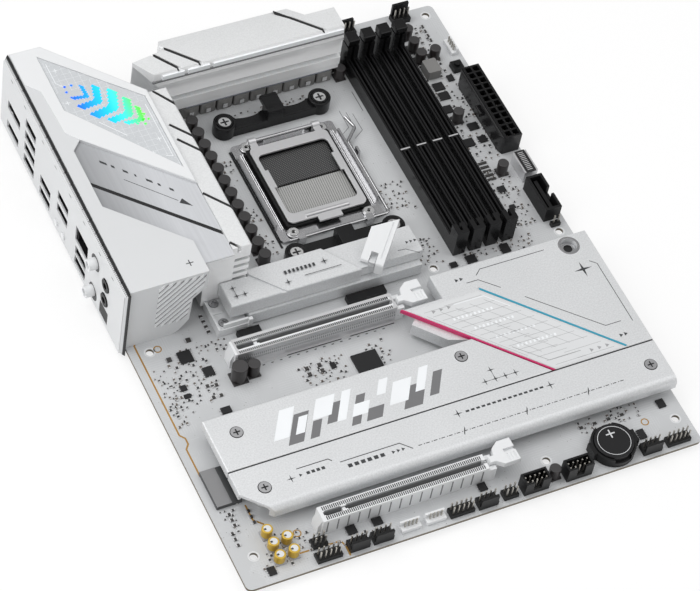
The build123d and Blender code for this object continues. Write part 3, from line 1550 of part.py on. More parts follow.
def usb_c_header():
    body = block(usb_c_x, usb_c_y, (seated, usb_c_height))
    inner_x = (usb_c_x[0] + 0.8, usb_c_x[1] - 0.8)
    inner_y = (usb_c_y[0] + 0.8, usb_c_y[1] - 0.8)
    body -= block(inner_x, inner_y, (2.4, usb_c_height + 1))
    tongue_y = (inner_y[0] + 1.4, inner_y[1] - 1.4)
    body += block(around(sum(usb_c_x) / 2, 1.6), tongue_y, (2.3, usb_c_height - 1.0))
    for side_y in (usb_c_y[0] - 1.6, usb_c_y[1]):
        body += block(around(sum(usb_c_x) / 2, 3.0), (side_y, side_y + 1.6), (seated, seated + 0.6))
    return body


white_header_spans = [
    ((80.8, 91.0), (3.2, 7.2)),
    ((94.0, 104.2), (3.2, 7.2)),
    ((board_depth - 6.0, board_depth - 2.4), (267.6, 277.8)),
]
white_header_base = 2.2
white_header_height = 4.8
white_header_wall = 1.0


def white_headers():
    shells = []
    for x, y in white_header_spans:
        shell = block(x, y, (seated, white_header_base))
        along_x = x[1] - x[0] > y[1] - y[0]
        wall_x = x if along_x else (x[1] - white_header_wall, x[1])
        wall_y = (y[1] - white_header_wall, y[1]) if along_x else y
        shells.append(shell + block(wall_x, wall_y, (seated, white_header_height)))
    return group(shells)


def connector_pins():
    """Square posts: in the power sockets' cells, in the headers, and in the battery-side rows."""
    pins = []

    def pin(x, y, low, high):
        pins.append(block(around(x, 2 * pin_half_width), around(y, 2 * pin_half_width), (low, high)))

    for x, y in atx_cells:
        pin(x, y, atx_size[2] - power_cell_depth + 0.02, atx_size[2] - 2.6)
    for x, y in eps_cells:
        pin(x, y, eps_size[2] - power_cell_depth + 0.02, eps_size[2] - 2.6)
    for corner, columns, rows in pin_headers:
        for x, y in row_spots(corner, columns, rows):
            pin(x, y, header_base_height + 0.02, header_pin_height)
    for x, y, height, columns, rows in box_headers:
        corner = (sum(x) / 2 - columns * header_pitch / 2, sum(y) / 2 - rows * header_pitch / 2)
        for x_pin, y_pin in row_spots(corner, columns, rows):
            pin(x_pin, y_pin, box_floor + 0.02, height - 0.8)
    for corner, count, wall_high, _ in fan_headers:
        row_y = corner[1] + fan_header_depth / 2 + (-0.6 if wall_high else 0.6)
        for column in range(count):
            x_pin = corner[0] + (column + 0.5) * header_pitch
            pin(x_pin, row_y, fan_base_height + 0.02, fan_pin_height)
    for x, y in white_header_spans:
        along_x = x[1] - x[0] > y[1] - y[0]
        for offset_along in (-3.0, -1.0, 1.0, 3.0):
            x_pin = sum(x) / 2 + (offset_along if along_x else 0)
            y_pin = sum(y) / 2 + (0 if along_x else offset_along)
            pin(x_pin, y_pin, white_header_base + 0.02, white_header_height + 1.6)
    return group(pins)


# ---- Battery ----------------------------------------------------------------------------------
def battery_holder():
    body = post(battery_x, battery_y, (seated, battery_holder_height), battery_holder_radius)
    for side in (-1, 1):
        ear_x = around(battery_x + side * battery_radius, 5.0)
        body += block(ear_x, around(battery_y, 7.0), (seated, battery_holder_height))
    for end in (-1, 1):
        gap_y = around(battery_y + end * battery_holder_radius, 6.0)
        body -= block(around(battery_x, 9.0), gap_y, (battery_seat_height, 20))
    well = battery_radius + battery_clearance
    return body - post(battery_x, battery_y, (battery_seat_height, 20), well)


def battery():
    bottom = battery_seat_height + 0.1
    cell = post(battery_x, battery_y, (bottom, bottom + battery_thickness), battery_radius)
    return fillet(cell.edges().sort_by(Axis.Z)[-1], 0.5)


# ---- Capacitors, chips and small parts --------------------------------------------------------
socket_cap_count = 12
socket_cap_first_y = 173.0
socket_cap_pitch = 8.4
socket_cap_x = 85.2
socket_cap_radius = 3.2
socket_cap_height = 8.0
# Other round capacitors: x, y, radius, height.
other_caps = [
    (44.5, 112.0, 4.0, 10.5),
    (52.4, 112.6, 3.2, 8.2),
    (220.3, board_length - 17.4, 2.9, 8.0),
    (219.8, board_length - 26.4, 2.9, 8.0),
    (219.8, 269.6, 2.9, 8.0),
    (228.2, 269.6, 2.9, 8.0),
    (220.3, 225.6, 2.9, 8.0),
    (226.6, 186.0, 2.9, 8.0),
    (164.2, 7.4, 2.9, 7.0),
    (173.6, board_length - 24.4, 2.9, 8.0),
    (173.6, board_length - 31.6, 2.9, 8.0),
]
audio_cap_places = [(20.3, 25.0), (27.8, 18.6), (20.3, 17.6), (27.8, 10.8), (20.3, 10.2)]
audio_cap_radius = 2.75
audio_cap_height = 6.0


def capacitor(x, y, radius, height):
    foot = block(around(x, 2 * radius), around(y, 2 * radius), (seated, seated + 0.8))
    can = post(x, y, (seated + 0.7, height), radius)
    return fillet(can.edges().sort_by(Axis.Z)[-1], 0.35) + foot


def capacitors():
    cans = []
    for index in range(socket_cap_count):
        y = socket_cap_first_y + index * socket_cap_pitch
        cans.append(capacitor(socket_cap_x, y, socket_cap_radius, socket_cap_height))
    for x, y, radius, height in other_caps:
        cans.append(capacitor(x, y, radius, height))
    return group(cans)


def audio_capacitors():
    return group([capacitor(x, y, audio_cap_radius, audio_cap_height) for x, y in audio_cap_places])


def audio_shield():
    cover = block((4.2, 17.2), (45.8, 67.2), (seated, 2.4))
    return chamfer(cover.faces().sort_by(Axis.Z)[-1].edges(), 0.3)


# Chip packages: X span, Y span, height.
chip_packages = [
    ((166.0, 178.0), (88.0, 100.0), 2.3),
    ((21.8, 28.6), (128.8, 135.8), 1.0),
    ((29.8, 35.0), (117.8, 123.2), 1.0),
    ((28.8, 33.8), (94.8, 98.4), 1.0),
    ((101.4, 114.8), (93.6, 105.0), 1.2),
    ((15.4, 18.6), (114.0, 117.0), 0.9),
    ((15.4, 18.6), (109.4, 111.6), 0.9),
    ((218.4, 224.2), (247.2, 252.2), 1.0),
    ((218.4, 224.2), (240.4, 245.4), 1.0),
    ((216.6, 221.4), (231.4, 236.2), 1.0),
    ((223.8, 229.2), (216.6, 221.2), 1.0),
    ((216.6, 222.2), (206.8, 212.0), 1.0),
    ((225.0, 229.6), (207.4, 211.4), 1.0),
    ((228.4, 231.8), (251.2, 255.2), 1.0),
    ((219.4, 223.4), (173.2, 177.4), 1.0),
    ((220.0, 223.0), (161.6, 164.4), 0.9),
    ((56.8, 61.4), (11.2, 15.8), 1.2),
    ((70.2, 75.0), (11.6, 15.6), 1.2),
    ((126.6, 130.6), (11.4, 15.6), 1.2),
    ((214.6, 218.4), (11.2, 16.4), 1.2),
    ((12.8, 16.6), (3.8, 8.2), 1.0),
    ((232.6, 236.6), (24.4, 29.2), 1.0),
    ((183.0, 188.4), (137.4, 142.0), 1.0),
    ((203.0, 207.6), (137.4, 142.8), 1.2),
    ((173.6, 177.4), (137.8, 140.8), 1.0),
    ((90.0, 92.6), (101.4, 104.8), 0.9),
]
# Rows of small two-terminal parts: first centre, step, count, size (x, y, height).
small_part_rows = [
    ((78.0, 102.0), (0, 3.6), 2, (2.8, 1.8, 1.2)),
    ((84.8, 102.0), (0, 3.6), 2, (2.8, 1.8, 1.2)),
    ((42.0, 142.4), (0, 3.3), 4, (1.6, 2.2, 0.8)),
    ((219.6, 183.4), (0, 2.8), 5, (5.6, 1.3, 0.7)),
    ((8.6, 35.0), (0, 3.2), 3, (2.2, 1.4, 0.8)),
    ((5.8, 24.4), (0, 3.4), 3, (2.0, 1.4, 0.8)),
    ((18.0, 33.4), (0, 3.4), 3, (2.0, 1.4, 0.8)),
    ((28.6, 105.6), (4.0, 0), 2, (2.4, 1.4, 0.8)),
    ((28.4, 112.8), (4.4, -0.8), 2, (2.4, 1.6, 0.8)),
    ((190.0, 27.6), (7.6, 0), 4, (2.8, 1.2, 0.8)),
    ((17.0, 133.4), (13.4, 7.8), 2, (3.2, 2.2, 1.0)),
    ((195.6, 24.6), (5.0, 0), 6, (1.2, 1.0, 0.5)),
    ((226.6, 258.6), (0, 3.0), 3, (2.0, 1.2, 0.7)),
    ((232.0, board_length - 13.4), (0, -3.4), 4, (1.8, 1.8, 0.8)),
    ((227.0, board_length - 16.8), (0, -3.6), 3, (1.4, 1.8, 0.6)),
    ((219.2, 152.0), (0, 2.6), 4, (2.6, 1.0, 0.6)),
    ((212.6, 8.6), (0, 0), 1, (0.8, 0.8, 0.5)),
    ((184.0, 143.3), (3.4, 0), 2, (2.0, 1.0, 0.6)),
]


def ic_chips():
    return group([block(x, y, (seated, height)) for x, y, height in chip_packages] + power_stages())


def smd_parts():
    parts = []
    for (x, y), (step_x, step_y), count, size in small_part_rows:
        for index in range(count):
            centre_x, centre_y = x + index * step_x, y + index * step_y
            parts.append(block(around(centre_x, size[0]), around(centre_y, size[1]), (seated, size[2])))
    return group(parts)


# ---- Nodes ------------------------------------------------------------------------------------
def all_nodes():
    nodes = {
        "circuit_board": circuit_board,
        "socket_backplate": socket_backplate,
        "socket_housing": socket_housing,
        "socket_contacts": socket_contacts,
        "socket_frame": socket_frame,
        "socket_screws": socket_screws,
        "load_plate": load_plate,
        "load_lever": load_lever,
        "cooler_brackets": cooler_brackets,
        "dimm_slots": dimm_slots,
        "pcie_slot_upper": lambda: pcie_slot(pcie_upper_y),
        "pcie_slot_lower": lambda: pcie_slot(pcie_lower_y),
        "pcie_armor": pcie_armor,
        "pcie_latch_upper": lambda: pcie_latch(pcie_upper_y),
        "pcie_latch_lower": lambda: pcie_latch(pcie_lower_y),
        "slot_contacts": slot_contacts,
        "m2_heatsink": m2_heatsink,
        "m2_release_lever": m2_release_lever,
        "m2_base": m2_base,
        "m2_bracket": m2_bracket,
        "m2_sockets": m2_sockets,
        "m2_upper_plate": m2_upper_plate,
        "m2_lower_plate": m2_lower_plate,
        "chipset_heatsink": chipset_heatsink,
        "chipset_trim": chipset_trim,
        "io_shield": io_shield,
        "io_shroud": io_shroud,
        "shroud_window": shroud_window,
        "rear_ports": rear_ports,
        "port_tongues": port_tongues,
        "ethernet_jack": ethernet_jack,
        "audio_jacks": audio_jacks,
        "antenna_connectors": antenna_connectors,
        "flashback_button": lambda: rear_button("flashback_button"),
        "clear_button": lambda: rear_button("clear_button"),
        "switch_bodies": switch_bodies,
        "start_button": start_button,
        "vrm_heatsink_left": vrm_heatsink_left,
        "vrm_heatsink_top": vrm_heatsink_top,
        "thermal_pads": thermal_pads,
        "chokes": chokes,
        "heatsink_screws": heatsink_screws,
        "atx_power_connector": atx_power_connector,
        "cpu_power_connectors": cpu_power_connectors,
        "connector_pins": connector_pins,
        "header_blocks": header_blocks,
        "white_headers": white_headers,
        "usb_c_header": usb_c_header,
        "battery_holder": battery_holder,
        "battery": battery,
        "capacitors": capacitors,
        "audio_capacitors": audio_capacitors,
        "audio_shield": audio_shield,
        "ic_chips": ic_chips,
        "smd_parts": smd_parts,
    }
    for index in range(dimm_count):
        nodes[f"dimm_latch_{index + 1}"] = lambda index=index: dimm_latch(index)
    return nodes


# Moves a piece drawn on the board to the part's frame.
to_part_frame = Pos(-hole_column_rear, -hole_row_slot_end, board_thickness)


def write_parts():
    os.makedirs("parts", exist_ok=True)
    for name, build in all_nodes().items():
        export_step(to_part_frame * build(), os.path.join("parts", f"{name}.step"))


if __name__ == "__main__":
    write_parts()
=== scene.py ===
"""Dresses the solid model of a full-size desktop motherboard: finishes, printed lines, small parts and stage."""

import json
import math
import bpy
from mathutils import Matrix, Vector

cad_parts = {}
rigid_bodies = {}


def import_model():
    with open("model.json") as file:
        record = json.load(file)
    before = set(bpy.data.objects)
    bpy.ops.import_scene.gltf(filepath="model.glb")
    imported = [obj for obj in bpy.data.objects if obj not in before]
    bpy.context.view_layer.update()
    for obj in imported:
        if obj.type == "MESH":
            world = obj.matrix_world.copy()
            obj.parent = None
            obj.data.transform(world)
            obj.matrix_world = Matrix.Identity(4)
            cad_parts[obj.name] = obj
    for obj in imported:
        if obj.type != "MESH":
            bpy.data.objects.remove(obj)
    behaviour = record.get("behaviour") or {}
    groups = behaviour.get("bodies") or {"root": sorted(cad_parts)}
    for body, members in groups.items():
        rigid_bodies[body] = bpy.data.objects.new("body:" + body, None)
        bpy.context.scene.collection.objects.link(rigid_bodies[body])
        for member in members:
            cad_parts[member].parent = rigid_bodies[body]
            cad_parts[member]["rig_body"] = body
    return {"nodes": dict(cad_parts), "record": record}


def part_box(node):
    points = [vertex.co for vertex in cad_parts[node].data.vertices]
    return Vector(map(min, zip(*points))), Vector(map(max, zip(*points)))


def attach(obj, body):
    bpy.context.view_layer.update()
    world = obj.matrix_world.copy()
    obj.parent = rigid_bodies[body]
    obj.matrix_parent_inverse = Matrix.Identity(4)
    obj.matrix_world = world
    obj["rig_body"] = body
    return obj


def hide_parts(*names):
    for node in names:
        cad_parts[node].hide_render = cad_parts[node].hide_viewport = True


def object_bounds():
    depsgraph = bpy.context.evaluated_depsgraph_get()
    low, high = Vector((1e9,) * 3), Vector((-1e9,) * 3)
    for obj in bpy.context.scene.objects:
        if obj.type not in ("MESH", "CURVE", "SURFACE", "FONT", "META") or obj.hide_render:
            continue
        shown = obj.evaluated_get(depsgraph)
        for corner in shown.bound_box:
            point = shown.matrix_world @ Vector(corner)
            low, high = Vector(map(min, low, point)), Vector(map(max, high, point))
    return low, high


bl_info = {
    "name": "Motherboard dressing",
    "version": (1, 0, 0),
    "blender": (4, 5, 0),
    "location": "View3D > Sidebar > Board",
    "description": "Gives a motherboard's solid model its finishes, fine parts, printed lines and stage",
    "category": "Object",
}

import bmesh
import bpy
from bpy.props import FloatProperty, FloatVectorProperty, IntProperty, PointerProperty
from mathutils import Euler, Vector

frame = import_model()
CAD_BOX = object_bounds()
NODES = frame["nodes"]

# Everything below is drawn in board millimetres: X from the board's rear edge, Y from its slot
# end, and Z up from its component side. on_board() turns a place on the board into scene metres.
MM = 0.001
BOARD_LOW, BOARD_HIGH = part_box("circuit_board")
SKIN = 0.03                      # thickness of a printed line or a thin inlay
EDGE_ANGLE = math.radians(34)    # edges sharper than this stay sharp in shading
MERGE = 0.002 * MM               # corners nearer than this are one
STRIP_LEAN = 0.951               # X that the chipset cover's strips gain for each unit of Y


def on_board(x, y, z):
    return Vector((BOARD_LOW.x + x * MM, BOARD_LOW.y + y * MM, BOARD_HIGH.z + z * MM))


def span_of(node):
    """(low, high) corners of a solid, in board millimetres."""
    low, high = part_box(node)
    origin = Vector((BOARD_LOW.x, BOARD_LOW.y, BOARD_HIGH.z))
    return (low - origin) / MM, (high - origin) / MM


def islands(node):
    """(low, high) corners of each separate solid of a node, in board millimetres."""
    mesh = bmesh.new()
    mesh.from_mesh(NODES[node].data)
    bmesh.ops.remove_doubles(mesh, verts=mesh.verts, dist=MERGE)
    origin = Vector((BOARD_LOW.x, BOARD_LOW.y, BOARD_HIGH.z))
    found, waiting = [], set(mesh.verts)
    while waiting:
        group, edge = [], [waiting.pop()]
        while edge:
            vertex = edge.pop()
            group.append((vertex.co - origin) / MM)
            fresh = {e.other_vert(vertex) for e in vertex.link_edges} & waiting
            waiting -= fresh
            edge.extend(fresh)
        found.append(tuple(Vector([pick(v[axis] for v in group) for axis in range(3)]) for pick in (min, max)))
    mesh.free()
    return sorted(found, key=lambda corners: tuple(round(v, 3) for v in corners[0]))


def colour_setting(label, words, default):
    return FloatVectorProperty(
        name=label, description=words, default=default, subtype="COLOR", size=3, min=0.0, max=1.0
    )


def length_setting(label, words, default):
    return FloatProperty(name=label, description=words, default=default * MM, unit="LENGTH", min=0.0)


class BoardColours(bpy.types.PropertyGroup):
    """Colours of the board's finishes."""

    mask_light: colour_setting("Board", "Solder mask of the bare board", (0.55, 0.56, 0.57))
    blasted: colour_setting("Blasted metal", "Heatsinks and covers", (0.71, 0.72, 0.73))
    shroud: colour_setting("Shroud", "Rear shroud and panel", (0.68, 0.69, 0.70))
    panel: colour_setting("Recessed panel", "Brushed panel let into the shroud", (0.50, 0.51, 0.53))
    steel: colour_setting("Steel", "Socket frame, lever and screws", (0.66, 0.66, 0.67))
    black: colour_setting("Black plastic", "Slots and connectors", (0.007, 0.007, 0.0075))
    white: colour_setting("Pale plastic", "Card slots and latches", (0.78, 0.79, 0.80))
    ink: colour_setting("Ink", "Printed lines on the covers", (0.035, 0.037, 0.040))
    gold: colour_setting("Gold", "Traces and contact pads", (0.52, 0.34, 0.12))
    sleeve: colour_setting("Gold sleeve", "Sleeves of the audio capacitors", (0.58, 0.38, 0.045))
    pink: colour_setting("First strip", "Strip on the slanted edge", (0.58, 0.020, 0.13))
    cyan: colour_setting("Second strip", "Strip across the cover", (0.03, 0.32, 0.46))


class BoardSizes(bpy.types.PropertyGroup):
    """Sizes of the dressing."""

    edge: length_setting("Edge", "Rounding of the heatsinks' edges", 0.35)
    plastic_edge: length_setting("Plastic edge", "Rounding of moulded edges", 0.18)
    line: length_setting("Line", "Width of a printed line", 0.45)
    rib_pitch: length_setting("Rib pitch", "Height from one of the shroud's side ribs to the next", 3.95)
    part_gap: length_setting("Part gap", "Least distance between scattered parts", 1.75)
    part_seed: IntProperty(name="Part seed", description="Which scatter of small parts", default=7)


# ---- Meshes -----------------------------------------------------------------------------------
def band_outline(points, width):
    """Outline of a flat band of even width along a plan line, with mitred corners."""
    left, right = [], []
    for index, point in enumerate(points):
        here = Vector(point)
        before = (here - Vector(points[index - 1])).normalized() if index else None
        after = (Vector(points[index + 1]) - here).normalized() if index + 1 < len(points) else None
        along = (before or after) + (after or before)
        along.normalize()
        across = Vector((-along.y, along.x))
        reach = width / 2 / max(0.3, across.dot(Vector((-(before or after).y, (before or after).x))))
        left.append(here + across * reach)
        right.append(here - across * reach)
    return left + right[::-1]


def lines_across(outline, slope, pitch, first):
    """Straight lines of one slope, a pitch apart, cut to where they cross a plan outline."""
    lines = []
    corners = list(zip(outline, outline[1:] + outline[:1]))
    levels = [b - slope * a for a, b in outline]
    level = min(levels) + first
    while level < max(levels):
        hits = []
        for (a0, b0), (a1, b1) in corners:
            before, after = b0 - slope * a0 - level, b1 - slope * a1 - level
            if (before > 0) != (after > 0):
                share = before / (before - after)
                hits.append((a0 + share * (a1 - a0), b0 + share * (b1 - b0)))
        hits.sort()
        lines += list(zip(hits[0::2], hits[1::2]))
        level += pitch
    return lines


def rectangle(a, b):
    """Corners of a rectangle that spans a one way and b the other."""
    return [(a[0], b[0]), (a[1], b[0]), (a[1], b[1]), (a[0], b[1])]


def centre(low, high):
    return (low.x + high.x) / 2, (low.y + high.y) / 2


def round_outline(x, y, radius, sides=28):
    turns = [2 * math.pi * n / sides for n in range(sides)]
    return [(x + radius * math.cos(turn), y + radius * math.sin(turn)) for turn in turns]


class Drawing:
    """Gathers simple shapes, drawn in board millimetres, into one mesh."""

    def __init__(self):
        self.mesh = bmesh.new()

    def shell(self, ring_a, ring_b):
        """A closed solid between two rings of places on the board."""
        first = [self.mesh.verts.new(on_board(*spot)) for spot in ring_a]
        second = [self.mesh.verts.new(on_board(*spot)) for spot in ring_b]
        self.mesh.faces.new(first[::-1])
        self.mesh.faces.new(second)
        for index in range(len(first)):
            after = (index + 1) % len(first)
            self.mesh.faces.new((first[index], first[after], second[after], second[index]))

    def plate(self, outline, low, high=None):
        """A plan outline raised from one height to another, or as thick as a print."""
        high = low + SKIN if high is None else high
        self.shell([(p[0], p[1], low) for p in outline], [(p[0], p[1], high) for p in outline])

    def box(self, x, y, z):
        self.plate(rectangle(x, y), *z)

    def side_plate(self, outline, y):
        """An (X, Z) outline carried from one Y to another."""
        self.shell([(p[0], y[0], p[1]) for p in outline], [(p[0], y[1], p[1]) for p in outline])

    def end_plate(self, outline, x):
        """A (Y, Z) outline carried from one X to another."""
        self.shell([(x[0], p[0], p[1]) for p in outline], [(x[1], p[0], p[1]) for p in outline])

    def band(self, points, width, low, high=None):
        self.plate(band_outline(points, width), low, high)

    def disc(self, x, y, radius, low, high=None, sides=28):
        self.plate(round_outline(x, y, radius, sides), low, high)

    def surround(self, inner, outer, low, high=None):
        """A plate with a real hole, between two outlines of as many corners."""
        high = low + SKIN if high is None else high
        rows = []
        for outline, z in ((inner, low), (outer, low), (outer, high), (inner, high)):
            rows.append([self.mesh.verts.new(on_board(px, py, z)) for px, py in outline])
        for row, following in zip(rows, rows[1:] + rows[:1]):
            for index in range(len(inner)):
                after = (index + 1) % len(inner)
                self.mesh.faces.new((row[index], row[after], following[after], following[index]))

    def ring(self, x, y, inner, outer, low, high=None, sides=36):
        """A flat ring with a real hole."""
        self.surround(round_outline(x, y, inner, sides), round_outline(x, y, outer, sides), low, high)

    def slash(self, start, end, width, low, high=None):
        """A slanted bar whose ends are cut square to X."""
        (x0, y0), (x1, y1) = start, end
        half = width / 2 * math.hypot(x1 - x0, y1 - y0) / abs(x1 - x0)
        self.plate([(x0, y0 - half), (x1, y1 - half), (x1, y1 + half), (x0, y0 + half)], low, high)

    def star(self, x, y, reach, z):
        """A four-pointed star."""
        waist = reach * 0.13
        points = quarter = [(reach, 0), (waist, waist)]
        for _ in range(3):
            quarter = [(-b, a) for a, b in quarter]
            points = points + quarter
        self.plate([(x + a, y + b) for a, b in points], z)

    def arrowheads(self, x, y, size, pitch, count, z):
        """Small triangles in a row, pointing along X."""
        for n in range(count):
            tail = x + n * pitch
            self.plate([(tail, y - size * 0.6), (tail + size, y), (tail, y + size * 0.6)], z)

    def cross(self, x, y, reach, width, z):
        """A plus mark."""
        self.box((x - reach, x + reach), (y - width / 2, y + width / 2), (z, z + SKIN))
        for side in (-1, 1):
            ends = sorted((y + side * width / 2, y + side * reach))
            self.box((x - width / 2, x + width / 2), ends, (z, z + SKIN))

    def piece(self, name, finish, body="board", slot="dark_plastic", edge=0.0):
        """The finished piece: closed, outward, lightly rounded, and riding on a body."""
        bmesh.ops.recalc_face_normals(self.mesh, faces=self.mesh.faces)
        if edge:
            round_edges(self.mesh, edge)
        mesh = bpy.data.meshes.new(name)
        self.mesh.to_mesh(mesh)
        self.mesh.free()
        return settle(name, mesh, paint(finish), body, slot, even=bool(edge))


def round_edges(mesh, edge):
    """Rounds the outward sharp edges of a mesh by an edge width in metres."""
    sharp = [e for e in mesh.edges if len(e.link_faces) == 2 and e.is_convex and e.calc_face_angle(0.0) > EDGE_ANGLE]
    shape = {"offset_type": "OFFSET", "segments": 2, "profile": 0.5, "affect": "EDGES", "clamp_overlap": True}
    bmesh.ops.bevel(mesh, geom=sharp, offset=edge, **shape)


def settle(name, mesh, material, body, slot, even=False):
    """Makes a mesh a piece of the scene, shaded smooth up to its sharp edges."""
    mesh.polygons.foreach_set("use_smooth", [True] * len(mesh.polygons))
    mesh.set_sharp_from_angle(angle=EDGE_ANGLE)
    if even:
        mesh = evenly_shaded(name, mesh)
    mesh.materials.clear()
    mesh.materials.append(material)
    made = bpy.data.objects.new(name, mesh)
    bpy.context.scene.collection.objects.link(made)
    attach(made, body)
    return made


def evenly_shaded(name, mesh):
    """Keeps the wide flat faces of a rounded mesh flat in shading."""
    host = bpy.data.objects.new(name + "_shading", mesh)
    bpy.context.scene.collection.objects.link(host)
    weighted = host.modifiers.new("Even shading", "WEIGHTED_NORMAL")
    weighted.mode = "FACE_AREA"
    weighted.keep_sharp = True
    bpy.context.view_layer.update()
    depsgraph = bpy.context.evaluated_depsgraph_get()
    even = bpy.data.meshes.new_from_object(
        host.evaluated_get(depsgraph), preserve_all_data_layers=True, depsgraph=depsgraph
    )
    even.name = name
    bpy.data.objects.remove(host)
    return even


def body_holding(node):
    return NODES[node]["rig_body"]


def rounded_stand_in(node, edge, material, slot):
    """Stands for a solid with the same shape and softly rounded edges."""
    mesh = bmesh.new()
    mesh.from_mesh(NODES[node].data)
    bmesh.ops.remove_doubles(mesh, verts=mesh.verts, dist=MERGE)
    bmesh.ops.dissolve_limit(mesh, angle_limit=math.radians(0.8), verts=mesh.verts, edges=mesh.edges)
    bmesh.ops.recalc_face_normals(mesh, faces=mesh.faces)
    round_edges(mesh, edge)
    data = bpy.data.meshes.new(node + "_rounded")
    mesh.to_mesh(data)
    mesh.free()
    made = settle(node + "_rounded", data, material, body_holding(node), slot, even=True)
    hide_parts(node)
    return made


def finish_node(node, material):
    """Gives a solid its material, in the slot it already has."""
    target = NODES[node]
    if not target.material_slots:
        target.data.materials.append(material)
    for place in target.material_slots:
        place.material = material


# ---- Repeating trees --------------------------------------------------------------------------
def new_tree(name, inputs):
    tree = bpy.data.node_groups.new(name, "GeometryNodeTree")
    face = tree.interface
    face.new_socket("Geometry", in_out="INPUT", socket_type="NodeSocketGeometry")
    for label, kind, value in inputs:
        made = face.new_socket(label, in_out="INPUT", socket_type=kind)
        if value is not None:
            made.default_value = value
    face.new_socket("Geometry", in_out="OUTPUT", socket_type="NodeSocketGeometry")
    return tree, tree.nodes.new("NodeGroupInput"), tree.nodes.new("NodeGroupOutput")


def add(tree, kind, links=(), **values):
    """A node of a tree, with its settings, its constants by socket name, and its incoming links."""
    made = tree.nodes.new(kind)
    for name, value in values.items():
        setattr(made, name, value)
    for socket, source in dict(links).items():
        if hasattr(source, "links"):
            tree.links.new(source, made.inputs[socket])
        else:
            made.inputs[socket].default_value = source
    return made


def close_tree(tree, geometry, given, result):
    """Ends a tree in real geometry with its material."""
    realize = add(tree, "GeometryNodeRealizeInstances", {"Geometry": geometry})
    links = {"Geometry": realize.outputs["Geometry"], "Material": given.outputs["Material"]}
    coated = add(tree, "GeometryNodeSetMaterial", links)
    tree.links.new(coated.outputs["Geometry"], result.inputs["Geometry"])
    return tree


def row_tree():
    """Bars in a straight row: ribs, contacts, terminals and dashes."""
    tree, given, result = new_tree(
        "Row of bars",
        [
            ("Count", "NodeSocketInt", 10),
            ("Start", "NodeSocketVector", None),
            ("Step", "NodeSocketVector", None),
            ("Bar Size", "NodeSocketVector", None),
            ("Material", "NodeSocketMaterial", None),
        ],
    )
    told = given.outputs
    links = {"Count": told["Count"], "Start Location": told["Start"], "Offset": told["Step"]}
    line = add(tree, "GeometryNodeMeshLine", links)
    bar = add(tree, "GeometryNodeMeshCube", {"Size": told["Bar Size"]})
    links = {"Points": line.outputs["Mesh"], "Instance": bar.outputs["Mesh"]}
    spread = add(tree, "GeometryNodeInstanceOnPoints", links)
    return close_tree(tree, spread.outputs["Instances"], given, result)


def stud_tree():
    """A short round stud on every point of the piece: cap tops, pads and solder points."""
    tree, given, result = new_tree(
        "Studs on points",
        [
            ("Radius", "NodeSocketFloat", MM),
            ("Height", "NodeSocketFloat", MM),
            ("Sides", "NodeSocketInt", 12),
            ("Material", "NodeSocketMaterial", None),
        ],
    )
    told = given.outputs
    links = {"Radius": told["Radius"], "Depth": told["Height"], "Vertices": told["Sides"]}
    stud = add(tree, "GeometryNodeMeshCylinder", links)
    links = {"Points": told["Geometry"], "Instance": stud.outputs["Mesh"]}
    spread = add(tree, "GeometryNodeInstanceOnPoints", links)
    return close_tree(tree, spread.outputs["Instances"], given, result)


